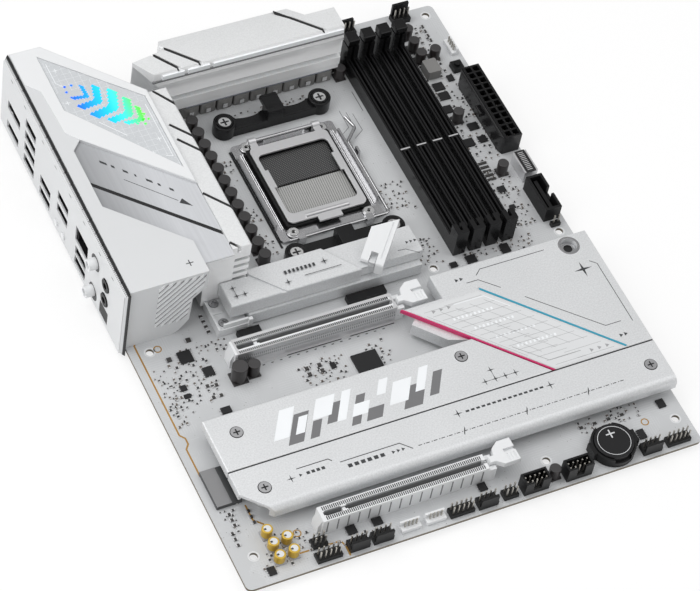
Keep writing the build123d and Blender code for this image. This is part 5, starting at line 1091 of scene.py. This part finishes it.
class BOARD_OT_slots(BoardStep):
    """Adds the contacts and keys of the memory slots, and painted shade in the ticks, gaps, depths and ridges of the
    card slots
    """

    bl_idname = "board.slots"
    bl_label = "Slots"

    MEMORY_RAIL_TOP = 9.4
    MEMORY_CONTACTS = 134

    def execute(self, context):
        self.memory_slots()
        self.card_slots()
        return {"FINISHED"}

    def memory_slots(self):
        top = self.MEMORY_RAIL_TOP
        keys = Drawing()
        for n in range(4):
            low, high = span_of(f"dimm_latch_{n + 1}")
            x = centre(low, high)[0]
            for side, across in (("rear", -1), ("front", 1)):
                row(f"memory_slot_{n + 1}_contacts_{side}", "Gold contacts", self.MEMORY_CONTACTS,
                    (x + across * 0.98, 153.4, top - 2.5), (0, 0.9, 0), (0.28, 0.42, 2.2), slot="contact_gold")
            keys.box((x - 2.6, x + 2.8), (210.1, 210.9), (top, top + 2 * SKIN))
        keys.piece("memory_slot_keys", "Satin steel", slot="light_plastic")

    def ticks(self, name, count, start, middle, reach, length, top):
        """Ticks of painted shade on both rims of a card slot."""
        for side, across in (("near", -reach), ("far", reach)):
            first = (start, middle + across, top + SKIN / 2)
            row(f"{name}_ticks_{side}", "Deep gap", count, first, (1.0, 0, 0), (0.55, length, SKIN))

    def card_slots(self):
        low, high = span_of("pcie_slot_lower")
        count = int(high.x - low.x - 9.0)
        self.ticks("card_slot", count, low.x + 4.2, (low.y + high.y) / 2, 2.75, 2.1, high.z)
        # Painted shade in the gaps between the blocks on the slot's near side.
        first = (low.x + 4.4, low.y - SKIN / 2, 5.6)
        row("card_slot_block_gaps", "Groove", 16, first, (5.45, 0, 0), (0.7, SKIN, 8.4))
        # Painted shade on a wall deep inside each card slot.
        painted_slot_shade = Drawing()
        for name in ("pcie_slot_lower", "pcie_slot_upper"):
            start, end = span_of(name)
            wall = (start.y + end.y) / 2 + 0.93
            painted_slot_shade.box((start.x + 3.5, end.x - 6.0), (wall - SKIN, wall), (3.0, end.z - 0.7))
        painted_slot_shade.piece("card_slot_depths", "Groove")
        low, high = span_of("pcie_armor")
        self.ticks("armoured_slot", count - 1, low.x + 1.4, (low.y + high.y) / 2, 2.9, 1.5, high.z)
        # Painted shade beside the armour's ridges, in two rows.
        for n, z in enumerate((9.6, 7.4)):
            first = (low.x + 3.0 + 0.5 * n, low.y - SKIN / 2, z)
            row(f"armour_ridges_{n + 1}", "Groove", 78, first, (1.05, 0, 0), (0.45, SKIN, 1.5), slot="steel")
        # Painted shadow in the gap between the armour's foot and the board.
        foot = Drawing()
        for x in ((72.5, 102.0), (106.7, low.x + 85.0)):
            foot.box(x, (low.y - SKIN, low.y), (0.2, 0.9))
        foot.piece("armour_foot_gap", "Deep gap")


class BOARD_OT_covers(BoardStep):
    """Draws the printed lines and marks on the storage covers and the chipset cover"""

    bl_idname = "board.covers"
    bl_label = "Covers"

    # The long slanted bars: width and gap along X, and the low and high ends along Y.
    SLANTED = (
        (8.0, 3.4, 65.0, 80.6), (4.8, 3.2, 65.0, 74.0), (10.0, 3.8, 70.0, 80.6), (4.8, 3.2, 65.0, 80.6),
        (8.4, 3.4, 65.0, 71.5), (4.8, 3.4, 72.5, 80.6), (10.0, 3.4, 65.0, 77.0), (5.0, 3.0, 68.0, 80.6),
    )
    SCREWS = ((26.6, 76.2), (148.2, 79.6), (26.4, 43.0), (235.2, 43.0))

    def execute(self, context):
        self.line = self.sizes.line / MM
        self.lower_plate(span_of("m2_lower_plate")[1].z)
        self.upper_plate(span_of("m2_upper_plate")[1].z)
        self.chipset_cover(span_of("chipset_heatsink")[1].z)
        self.screws(span_of("heatsink_screws")[1].z)
        return {"FINISHED"}

    def lower_plate(self, top):
        ink = Drawing()
        ink.band([(44.5, 47.2), (61.0, 47.2), (62.4, 45.6)], self.line, top)
        ink.band([(65.7, 43.6), (97.0, 43.6), (102.0, 38.6)], self.line, top)
        for x, y, reach in ((40.0, 43.0, 2.4), (131.3, 49.3, 2.6), (181.8, 49.0, 2.6)):
            ink.star(x, y, reach, top)
        ink.arrowheads(44.5, 43.4, 1.5, 2.0, 1, top)
        ink.arrowheads(91.5, 40.0, 1.6, 2.6, 3, top)
        for x in (129.0, 163.0, 197.0):
            ink.slash((x, 37.4), (x + 1.8, 41.0), 0.5, top)
        ink.piece("lower_plate_lines", "Ink")
        # Rows of plain blocks and dashes, like a rule's.
        for name, count, start, step, size in (
            ("blocks", 6, (69.5, 40.2), 3.4, (2.2, 2.0)),
            ("short_blocks", 4, (49.0, 43.4), 2.6, (1.7, 1.6)),
            ("small_blocks", 15, (136.4, 49.2), 2.9, (1.9, 1.1)),
            ("dashes", 28, (106.0, 39.2), 4.1, (1.9, 0.42)),
            ("dots", 27, (108.3, 39.2), 4.1, (0.55, 0.42)),
        ):
            place, step = (*start, top + SKIN / 2), (step, 0, 0)
            row(f"lower_plate_{name}", "Ink", count, place, step, (*size, SKIN))

    def upper_plate(self, top):
        lean = 0.62
        for name, finish, offset, level in (
            ("shadows", "Dark print", (5.6, -4.6), top),
            ("bars", "Bright print", (0.0, 0.0), top + SKIN),
        ):
            bars = Drawing()
            place = 41.0
            for width, gap, low, high in self.SLANTED:
                start = place + offset[0]
                corners = rectangle((0.0, width), (low, high))
                bars.plate([(start + x + lean * (y - 65.0), y + offset[1]) for x, y in corners], level)
                place += width + gap
            bars.piece(f"upper_plate_{name}", finish)
        marks = Drawing()
        for x, y in ((152.5, 61.7), (158.0, 61.7), (163.5, 61.7), (169.0, 61.7), (158.0, 67.2)):
            marks.star(x, y, 2.3, top)
        marks.band([(152.5, 61.7), (169.0, 61.7)], 0.22, top)
        marks.band([(158.0, 61.9), (158.0, 67.2)], 0.22, top)
        marks.piece("upper_plate_stars", "Ink")

    def chipset_cover(self, top):
        marks = Drawing()
        for run in (
            [(177.7, 122.0), (181.1, 125.0), (217.7, 125.0)],
            [(170.9, 119.2), (177.3, 119.2), (186.0, 111.0)],
            [(194.9, 101.8), (225.1, 71.9), (233.8, 71.9)],
            [(236.5, 111.0), (239.6, 108.2), (239.6, 70.0)],
        ):
            marks.band(run, self.line * 0.8, top)
        marks.star(231.1, 107.3, 5.0, top)
        marks.arrowheads(166.0, 122.4, 1.8, 2.6, 2, top)
        marks.arrowheads(229.0, 64.0, 1.8, 2.6, 2, top)
        marks.piece("chipset_lines", "Ink")

        # The paler field between the coloured strips, with its fine grid, rows of squares and marks.
        low, high = span_of("chipset_trim")
        near = low.y + 1.2

        def edge(x_at_near, y):
            return x_at_near - STRIP_LEAN * (y - low.y)

        # The field stands a little inside the strips' inner edges, 41 mm apart along X.
        first, second, far = high.x - 41.0 + 1.2, high.x - 1.7, 112.6
        field = [(edge(x, y), y) for x, y in ((first, near), (second, near), (second, far), (first, far))]
        pale = Drawing()
        pale.plate(field, top)
        pale.piece("chipset_field", "Pale print", slot="light_plastic")
        grid = Drawing()
        for slope, pitch, keep in ((0.0, 3.6, (0.08, 0.52)), (0.0, 5.1, (0.40, 0.94)), (-1.052, 8.3, (0.1, 0.8))):
            for start, end in lines_across(field, slope, pitch, 1.4):
                run = Vector(end) - Vector(start)
                line = [Vector(start) + run * share for share in keep]
                grid.band([tuple(line[0]), tuple(line[1])], 0.16, top + SKIN)
        grid.arrowheads(146.5, 108.7, 1.9, 4.2, 3, top + SKIN)
        grid.arrowheads(210.6, 61.0, 1.9, 4.4, 3, top + SKIN)
        grid.band([(174.5, 76.2), (188.5, 62.6), (206.0, 62.6)], 0.3, top + SKIN)
        grid.piece("chipset_grid", "Grey print")
        white = Drawing()
        white.band([(158.5, 109.2), (175.4, 109.2), (185.3, 99.0)], 0.35, top + SKIN)
        white.piece("chipset_light_line", "Bright print", slot="light_plastic")
        for n in range(4):
            row(f"chipset_squares_{n + 1}", "Bright print", 10, (155.0 + 7.6 * n, 101.0 - 8.4 * n, top + 1.5 * SKIN),
                (2.3, 0, 0), (1.1, 1.5, SKIN), slot="light_plastic")
        # Painted shade, near black, in the gap where the covers meet and at the bottom of the well in the far
        # corner; then the well's steel rings.
        seam = Drawing()
        seam.box((13.6, 243.4), (55.97, 56.43), (top - 1.0, top - 0.05))
        seam.disc(231.2, 123.2, 2.3, top - 3.4, top - 3.3)
        seam.piece("cover_seam", "Deep gap")
        well = Drawing()
        well.ring(231.2, 123.2, 4.35, 5.7, top - 0.2, top + 0.08)
        well.ring(231.2, 123.2, 2.3, 4.3, top - 3.6, top - 2.4)
        well.piece("chipset_well_ring", "Polished steel", slot="steel", edge=0.2 * MM)

    def screws(self, top):
        # Painted shade in each screw's hole round its head, and in its cross recess.
        dark = Drawing()
        for x, y in self.SCREWS:
            dark.ring(x, y, 3.0, 3.3, top - 1.1, top - 0.2)
            dark.cross(x, y, 1.8, 0.6, top)
        dark.piece("cover_screw_recesses", "Deep gap", slot="steel")


class BOARD_OT_storage(BoardStep):
    """Prints the marks on the storage heatsink"""

    bl_idname = "board.storage"
    bl_label = "Storage heatsink"

    # Each star's place and reach.
    STARS = ((56.9, 151.2, 1.9), (56.9, 146.2, 1.9), (61.3, 146.2, 1.9), (106.6, 151.8, 2.3), (84.4, 145.7, 2.1))

    def execute(self, context):
        top = span_of("m2_heatsink")[1].z
        marks = Drawing()
        for x, y, reach in self.STARS:
            marks.star(x, y, reach, top)
        marks.band([(56.9, 151.2), (56.9, 146.2), (61.3, 146.2)], 0.2, top)
        marks.band([(93.8, 146.8), (113.8, 146.8)], 0.3, top)
        marks.band([(144.2, 145.2), (148.3, 144.9), (154.2, 140.4)], 0.3, top)
        marks.arrowheads(150.2, 148.6, 1.5, 2.2, 3, top)
        marks.piece("storage_marks", "Ink", body="m2_heatsink")
        first = (85.4, 151.6, top + SKIN / 2)
        row("storage_blocks", "Ink", 8, first, (2.2, 0, 0), (1.2, 2.0, SKIN), body="m2_heatsink")
        return {"FINISHED"}


class BOARD_OT_shroud(BoardStep):
    """Adds the window's surround and motif, the ribs with painted shade in their grooves, painted shade inside the
    slots, a painted highlight and shade on the heatsink's lip, and the marks
    """

    bl_idname = "board.shroud"
    bl_label = "Shroud"

    # Window corners with the raised surround's corners round them.
    WINDOW_EDGE = (
        (12.4, 290.0), (12.4, 278.9), (12.4, 263.9), (20.0, 254.5),
        (54.2, 211.4), (54.2, 260.1), (12.4, 301.5), (12.4, 300.0),
    )
    SURROUND_EDGE = (
        (0.1, 285.8), (6.0, 278.9), (7.3, 250.2), (11.2, 245.4),
        (56.2, 201.0), (56.2, 263.3), (16.2, 307.0), (0.1, 307.0),
    )
    # Slots of the left heatsink (start, and run along X) and of the top one (start and end).
    LEFT_SLOTS = ((57.2, 194.0, 9.9), (57.2, 161.5, 2.3), (58.8, 240.0, 8.3), (58.8, 230.0, 8.3), (59.6, 262.4, 7.5))
    TOP_SLOTS = (((69.8, 285.4), (78.3, 273.8)), ((76.8, 288.0), (90.2, 273.7)), ((140.4, 293.5), (159.9, 273.7)))
    # The window's arrowheads: place along it, half width and thickness. Then the loose squares about them.
    ARROWS = ((-17.0, 5.0, 3.0), (-11.5, 8.4, 4.6), (-3.6, 10.0, 5.6), (5.4, 8.8, 4.8), (13.2, 6.4, 3.4))
    SQUARES = (
        (21.5, 0.0), (20.2, 3.6), (20.2, -3.6), (23.6, 1.8), (23.6, -1.8), (-19.6, 2.6), (-19.6, -2.6), (-22.0, 0.0)
    )
    # Ribbed part of the wall that faces the slots, as X and Z.
    RIBBED = ((14.8, 41.6), (39.4, 41.2), (38.4, 32.4), (33.0, 26.5), (31.6, 12.4), (28.3, 10.2), (14.6, 10.4))

    def execute(self, context):
        low, high = span_of("io_shroud")
        surround = Drawing()
        surround.surround(self.WINDOW_EDGE, self.SURROUND_EDGE, high.z, high.z + 0.35)
        surround.piece("window_surround", "White metal", slot="white_metal", edge=0.12 * MM)
        self.motif()
        self.ribs(low.y)
        # The long slot in the brushed panel, and the slots of the heatsink beside it, get painted shade, near black,
        # inside.
        slots = Drawing()
        slots.slash((7.25, 217.25), (56.5, 168.0), 2.0, high.z - 1.9, high.z - 1.46)
        left = span_of("vrm_heatsink_left")[1]
        for x, y, run in self.LEFT_SLOTS:
            slots.slash((x, y), (x + run, y - 1.27 * run), 1.6, left.z - 3.9, left.z - 0.35)
        above = span_of("vrm_heatsink_top")[1].z
        for start, end in self.TOP_SLOTS:
            slots.slash(start, end, 1.7, above - 1.3, above - 0.5)
        slots.piece("shroud_slots", "Deep gap")
        front = span_of("vrm_heatsink_top")[0].y
        # Painted highlight: bright strips along the top heatsink's front lip, with a strip of painted shade under
        # them.
        lip, shade = Drawing(), Drawing()
        for x in ((69.2, 81.3), (83.3, 95.3), (97.3, 170.8)):
            lip.side_plate(rectangle(x, (above - 4.4, above - 1.7)), (front, front + 1.02))
        shade.side_plate(rectangle((64, 171), (above - 5.6, above - 4.5)), (front, front + 1.02))
        lip.piece("heatsink_lip", "Bright print", slot="light_plastic")
        shade.piece("heatsink_lip_shade", "Groove")
        marks = Drawing()
        panel = high.z - 1.4
        for n, length in enumerate((5.0, 2.4, 3.6, 1.4, 4.4, 2.0, 3.0)):
            ends = 17.0 + 4.3 * n, 17.0 + 4.3 * n + 0.55 * length
            marks.slash(*((x, 229.0 - 1.05 * (x - 17.0)) for x in ends), 1.1, panel)
        marks.band([(24.0, 214.5), (44.0, 193.5)], 0.3, panel)
        marks.plate([(44.0, 192.0), (49.5, 188.0), (46.2, 194.2)], panel)
        marks.cross(33.5, 155.2, 1.9, 0.5, high.z)
        marks.piece("shroud_marks", "Ink")
        return {"FINISHED"}

    def motif(self):
        """Arrowheads that run along the window, with loose squares at their tail and pale marks about them."""
        top = span_of("shroud_window")[1].z
        middle, along, across = Vector((33.0, 262.0)), Vector((0.665, -0.747)), Vector((0.747, 0.665))

        def place(s, t):
            spot = middle + along * s + across * t
            return (spot.x, spot.y)

        motif = Drawing()
        for start, reach, thick in self.ARROWS:
            for side in (-1, 1):
                # Each arm is a run of steps, so its edge is notched.
                for step in range(5):
                    far, near = reach * (step + 1) / 5, reach * step / 5
                    shift = start + 6.0 * (1 - (step + 0.5) / 5)
                    corners = rectangle((shift, shift + thick), (side * near, side * far))
                    motif.plate([place(*corner) for corner in corners], top)
        for s, t in self.SQUARES:
            motif.plate([place(*corner) for corner in rectangle((s - 0.6, s + 0.6), (t - 0.6, t + 0.6))], top)
        motif.piece("window_motif", "Lit motif", slot="window")

        marks = Drawing()
        for x, y in ((18.0, 290.0), (44.0, 224.5), (50.0, 232.0), (16.0, 268.0)):
            marks.cross(x, y, 1.3, 0.3, top)
        marks.band([(15.0, 295.5), (15.0, 282.0), (18.5, 278.0)], 0.3, top)
        marks.band([(52.2, 255.0), (52.2, 219.5), (49.0, 221.0)], 0.3, top)
        marks.band([(26.0, 251.5), (36.0, 239.0)], 0.3, top)
        marks.piece("window_marks", "Bright print", slot="window")

    def ribs(self, wall):
        """Raised slanted ribs, with painted shade in the grooves between them."""
        slope, pitch = 0.955, self.sizes.rib_pitch / MM
        outline = list(self.RIBBED)
        for name, finish, width, proud, shift in (
            ("shroud_grooves", "Groove", 0.85, SKIN, 0.0),
            ("shroud_ribs", "White metal", 1.5, 0.4, pitch / 2),
        ):
            bars = Drawing()
            for (x0, z0), (x1, z1) in lines_across(outline, slope, pitch, 1.2 + shift):
                if x1 - x0 < 1.2:
                    continue
                half = width / 2 * math.hypot(1.0, slope)
                rib = [(x0, z0 - half), (x1, z1 - half), (x1, z1 + half), (x0, z0 + half)]
                bars.side_plate(rib, (wall - proud, wall))
            bars.piece(name, finish, slot="white_metal")


class BOARD_OT_sockets(BoardStep):
    """Adds painted shade in the screws' recesses and in lines about the processor socket, and the screws' rims and
    the socket's rails
    """

    bl_idname = "board.sockets"
    bl_label = "Socket"

    # The cooler brackets' screws are wider than this, and the socket frame's are not.
    WIDE_SCREW = 6.0

    def execute(self, context):
        # Painted shade in the recesses, drawn as dark inlays in each screw's head.
        recess = Drawing()
        for low, high in islands("socket_screws"):
            x, y = centre(low, high)
            if high.x - low.x > self.WIDE_SCREW:
                recess.cross(x, y, 1.7, 0.9, high.z)
            else:
                recess.disc(x, y, 1.0, high.z - 0.8, high.z - 0.75, 12)
        # Painted shade: a dark outline round the socket, and dark channels beside its rails.
        frame_low, frame_high = span_of("socket_frame")
        house_low, house_high = span_of("socket_housing")
        recess.box((frame_low.x - 1.1, frame_low.x - 0.1), (frame_low.y + 1, frame_high.y - 2), (SKIN, 0.5))
        floor = frame_low.z + 1.3
        for x in (house_low.x - 1.1, house_high.x + 0.5):
            recess.box((x, x + 0.6), (house_low.y + 1, house_high.y - 1), (floor, floor + 0.25))
        recess.piece("socket_dark_lines", "Deep gap", slot="steel")
        rails, rims = Drawing(), Drawing()
        for x in (house_low.x - 2.9, house_low.x - 1.9, house_high.x + 1.5, house_high.x + 2.6):
            rails.box((x, x + 0.55), (house_low.y + 0.5, house_high.y - 0.5), (floor - 0.1, floor + 1.2))
        for low, high in islands("socket_screws"):
            x, y = centre(low, high)
            if high.x - low.x > self.WIDE_SCREW:
                rims.ring(x, y, 3.3, (high.x - low.x) / 2, high.z - 0.02, high.z + 0.25)
            else:
                rails.ring(x, y, 2.2, 3.5, high.z - 1.2, high.z - 0.5)
        rims.piece("bracket_rims", "Gloss black")
        rails.piece("socket_rails", "Polished steel", slot="steel", edge=0.5 * MM)
        return {"FINISHED"}


class BOARD_OT_rear_panel(BoardStep):
    """Adds the fine lines and marks of the rear panel"""

    bl_idname = "board.rear_panel"
    bl_label = "Rear panel"

    # Where each short dash over the ports starts, along Y.
    DASHES = (160, 176, 196, 214, 233, 250, 274, 292)

    def execute(self, context):
        face = span_of("io_shield")[0].x
        marks = Drawing()
        for y in self.DASHES:
            marks.end_plate(rectangle((y, y + 2.6), (39.3, 39.8)), (face - SKIN, face))
        near, far = span_of("antenna_connectors")
        for z in (near.z + 5.3, far.z - 5.3):
            marks.end_plate(round_outline((near.y + far.y) / 2, z, 4.8), (face - SKIN, face))
        marks.piece("panel_marks", "Ink")
        return {"FINISHED"}


class BOARD_OT_parts(BoardStep):
    """Adds the chokes' terminals, solder ends and legs, cans' tops, painted shade in the socket mouth, and the
    battery's print
    """

    bl_idname = "board.parts"
    bl_label = "Connectors and parts"

    # The cell's centre, which sizes of chip get legs, how long a solder end is, and the legs' pitch,
    # width and reach.
    CELL = (199.0, 12.0)
    SMALLEST_CHIP, LARGEST_CHIP = 2.6, 8.5
    END_LENGTH, LEG_PITCH, LEG_WIDTH, LEG_REACH = 0.35, 1.27, 0.44, 0.85

    def execute(self, context):
        size = (2.5, 1.0, 2.7)
        row("choke_terminals", "Bright screw", 9, (88.4, 272.5, 3.5), (9.5, 0, 0), size, slot="contact_gold")
        self.solder()
        self.can_tops()
        self.openings()
        self.battery_print(span_of("battery")[1].z)
        return {"FINISHED"}

    def solder(self):
        """Bright ends on the large soldered parts, and legs on the smaller chips."""
        solder = Drawing()
        for low, high in islands("smd_parts"):
            along, across = ("x", "y") if high.x - low.x > high.y - low.y else ("y", "x")
            start, stop = getattr(low, along), getattr(high, along)
            width = (getattr(low, across) - 0.04, getattr(high, across) + 0.04)
            for end in ((start - 0.06, start + self.END_LENGTH), (stop - self.END_LENGTH, stop + 0.06)):
                spans = {along: end, across: width}
                solder.box(spans["x"], spans["y"], (0.01, high.z + 0.02))
        for low, high in islands("ic_chips"):
            across, along = high.x - low.x, high.y - low.y
            if max(across, along) > self.LARGEST_CHIP or min(across, along) < self.SMALLEST_CHIP:
                continue
            count = max(2, int(along / self.LEG_PITCH))
            for n in range(count):
                y = low.y + along * (n + 0.5) / count
                leg = (y - self.LEG_WIDTH / 2, y + self.LEG_WIDTH / 2)
                solder.box((low.x - self.LEG_REACH, low.x), leg, (0.02, 0.35))
                solder.box((high.x, high.x + self.LEG_REACH), leg, (0.02, 0.35))
        solder.piece("part_ends", "Solder", slot="contact_gold")

    def can_tops(self):
        tops, bands = Drawing(), Drawing()
        for low, high in islands("audio_capacitors"):
            x, y = centre(low, high)
            radius = (high.x - low.x) / 2
            tops.disc(x, y, radius - 0.95, high.z)
            mark = (high.z + SKIN, high.z + 2 * SKIN)
            bands.box((x - radius * 0.62, x - radius * 0.2), (y - 0.5, y + 0.5), mark)
        tops.piece("gold_can_tops", "Pale print", slot="light_plastic")
        bands.piece("gold_can_marks", "Ink")

    def openings(self):
        """The plate on the audio shield, and the small upright socket's blades with painted shade in its mouth."""
        low, high = span_of("audio_shield")
        shield = Drawing()
        shield.box((low.x + 0.1, low.x + 7.8), (low.y + 0.1, high.y - 0.1), (high.z, high.z + SKIN))
        shield.piece("shield_plate", "Shield", slot="steel")
        low, high = span_of("usb_c_header")
        # Painted shade, near black, in the socket's mouth.
        port = Drawing()
        port.box((low.x + 1.0, high.x - 1.0), (low.y + 1.2, high.y - 1.2), (high.z, high.z + SKIN))
        port.piece("usb_c_opening", "Deep gap")
        first = ((low.x + high.x) / 2, low.y + 3.2, high.z + 1.5 * SKIN)
        row("usb_c_blades", "Satin steel", 11, first, (0, 1.15, 0), (3.0, 0.45, SKIN), slot="steel")

    def battery_print(self, top):
        """A ring and a plus on the cell."""
        x, y = self.CELL
        ink = Drawing()
        ink.ring(x, y, 8.1, 8.4, top)
        level = (top, top + SKIN)
        ink.box((x - 2.4, x + 2.4), (y + 3.8, y + 4.5), level)
        for ends in ((y + 4.5, y + 6.6), (y + 1.7, y + 3.8)):
            ink.box((x - 0.35, x + 0.35), ends, level)
        ink.piece("battery_print", "Pale ink", body="battery", slot="light_plastic")


class BOARD_OT_underside(BoardStep):
    """Puts the soldered pin ends on the underside"""

    bl_idname = "board.underside"
    bl_label = "Underside"

    def execute(self, context):
        under = span_of("circuit_board")[0].z - 0.25
        spots = []
        for n in range(4):
            x = centre(*span_of(f"dimm_latch_{n + 1}"))[0]
            spots += [(x + across, 154.0 + 1.35 * step, under) for step in range(88) for across in (-1.6, 0.0, 1.6)]
        for node in ("pcie_slot_upper", "pcie_slot_lower"):
            start, y = span_of(node)[0].x + 3.5, centre(*span_of(node))[1]
            spots += [(start + 1.05 * step, y + across, under) for step in range(82) for across in (-2.0, 2.0)]
        studs("underside_solder", "Solder", spots, 0.34, 0.5, 8, slot="contact_gold")
        return {"FINISHED"}


class BOARD_OT_stage(BoardStep):
    """Sets the floor, the lights, the white surround and the camera"""

    bl_idname = "board.stage"
    bl_label = "Stage"

    CAMERA_PLACE = (-0.40494, -0.62674, 1.15185)
    CAMERA_TURN = (37.71427, -7.20520, -25.13330)
    CAMERA_LENS, CAMERA_SENSOR = 151.561, 36.0
    FLOOR_REACH, FLOOR_DROP = 6.0, 0.0005
    WHITE = (1.0, 1.0, 1.0, 1.0)
    # Square lamps: name, place from the board's middle, side and power.
    LAMPS = (
        ("key", (-0.60, 0.60, 1.40), 0.9, 8.2),
        ("fill", (0.95, -0.35, 1.0), 1.1, 3.5),
        ("front", (-0.1, -1.25, 0.45), 0.9, 1.9),
        ("rear", (-1.1, -0.1, 0.7), 0.9, 5.5),
        ("over", (0.25, 0.15, 1.5), 1.3, 4.0),
    )

    def execute(self, context):
        scene = context.scene
        self.floor(scene)
        self.surround(scene)
        self.lamps(scene)
        self.camera(scene)
        scene.view_settings.view_transform = "Standard"
        return {"FINISHED"}

    def floor_material(self):
        """White floor that keeps a faint shadow."""
        white = bpy.data.materials.new("Floor")
        white.use_nodes = True
        tree = white.node_tree
        matte = tree.nodes["Principled BSDF"]
        matte.inputs["Base Color"].default_value = (0.97, 0.97, 0.97, 1.0)
        matte.inputs["Roughness"].default_value = 0.9
        rays = add(tree, "ShaderNodeLightPath").outputs
        links = {0: rays["Is Camera Ray"], 1: rays["Is Glossy Ray"]}
        seen = add(tree, "ShaderNodeMath", links, operation="MAXIMUM")
        share = add(tree, "ShaderNodeMath", {0: seen.outputs["Value"], 1: 0.72}, operation="MULTIPLY")
        bright = add(tree, "ShaderNodeEmission")
        links = {"Fac": share.outputs["Value"], 1: matte.outputs["BSDF"], 2: bright.outputs["Emission"]}
        mix = add(tree, "ShaderNodeMixShader", links)
        tree.links.new(mix.outputs["Shader"], tree.nodes["Material Output"].inputs["Surface"])
        return white

    def floor(self, scene):
        mesh = bpy.data.meshes.new("floor")
        reach, z = self.FLOOR_REACH, CAD_BOX[0].z - self.FLOOR_DROP
        corners = rectangle((-reach, reach), (-reach, reach))
        mesh.from_pydata([(x, y, z) for x, y in corners], [], [(0, 1, 2, 3)])
        floor = bpy.data.objects.new("floor", mesh)
        scene.collection.objects.link(floor)
        mesh.materials.append(self.floor_material())

    def surround(self, scene):
        """White to the camera, and a softer white light on the board."""
        scene.world = bpy.data.worlds.new("Studio")
        scene.world.use_nodes = True
        tree = scene.world.node_tree
        tree.nodes.clear()
        seen = add(tree, "ShaderNodeBackground", {"Color": self.WHITE})
        room = add(tree, "ShaderNodeBackground", {"Color": self.WHITE, "Strength": 0.42})
        rays = add(tree, "ShaderNodeLightPath")
        links = {"Fac": rays.outputs["Is Camera Ray"], 1: room.outputs["Background"], 2: seen.outputs["Background"]}
        mix = add(tree, "ShaderNodeMixShader", links)
        add(tree, "ShaderNodeOutputWorld", {"Surface": mix.outputs["Shader"]})

    def lamps(self, scene):
        middle = (CAD_BOX[0] + CAD_BOX[1]) / 2
        for name, place, size, power in self.LAMPS:
            lamp = bpy.data.lights.new(name, "AREA")
            lamp.shape = "SQUARE"
            lamp.size = size
            lamp.energy = power
            made = bpy.data.objects.new(name, lamp)
            made.location = middle + Vector(place)
            made.rotation_euler = (middle - made.location).to_track_quat("-Z", "Y").to_euler()
            scene.collection.objects.link(made)

    def camera(self, scene):
        lens = bpy.data.cameras.new("view")
        lens.lens = self.CAMERA_LENS
        lens.sensor_width = self.CAMERA_SENSOR
        lens.sensor_fit = "HORIZONTAL"
        lens.clip_start = 0.01
        camera = bpy.data.objects.new("view", lens)
        camera.location = self.CAMERA_PLACE
        camera.rotation_euler = Euler([math.radians(a) for a in self.CAMERA_TURN], "XYZ")
        scene.collection.objects.link(camera)
        scene.camera = camera


class BOARD_PT_panel(bpy.types.Panel):
    """The sidebar panel, in the order that the steps run"""

    bl_label = "Motherboard"
    bl_space_type = "VIEW_3D"
    bl_region_type = "UI"
    bl_category = "Board"

    def draw(self, context):
        layout = self.layout
        for group in (context.scene.board_sizes, context.scene.board_colours):
            for name in group.__annotations__:
                layout.prop(group, name)
        for step in STEPS:
            layout.operator(step.bl_idname)


STEPS = (
    BOARD_OT_finishes,
    BOARD_OT_rounding,
    BOARD_OT_bare_board,
    BOARD_OT_chip_parts,
    BOARD_OT_sockets,
    BOARD_OT_slots,
    BOARD_OT_covers,
    BOARD_OT_storage,
    BOARD_OT_shroud,
    BOARD_OT_rear_panel,
    BOARD_OT_parts,
    BOARD_OT_underside,
    BOARD_OT_stage,
)
CLASSES = (BoardColours, BoardSizes, *STEPS, BOARD_PT_panel)


def register():
    for each in CLASSES:
        bpy.utils.register_class(each)
    bpy.types.Scene.board_sizes = PointerProperty(type=BoardSizes)
    bpy.types.Scene.board_colours = PointerProperty(type=BoardColours)


def unregister():
    del bpy.types.Scene.board_sizes
    del bpy.types.Scene.board_colours
    for each in reversed(CLASSES):
        bpy.utils.unregister_class(each)


def main():
    register()
    for step in STEPS:
        area, name = step.bl_idname.split(".")
        getattr(getattr(bpy.ops, area), name)()


if __name__ == "__main__":
    main()
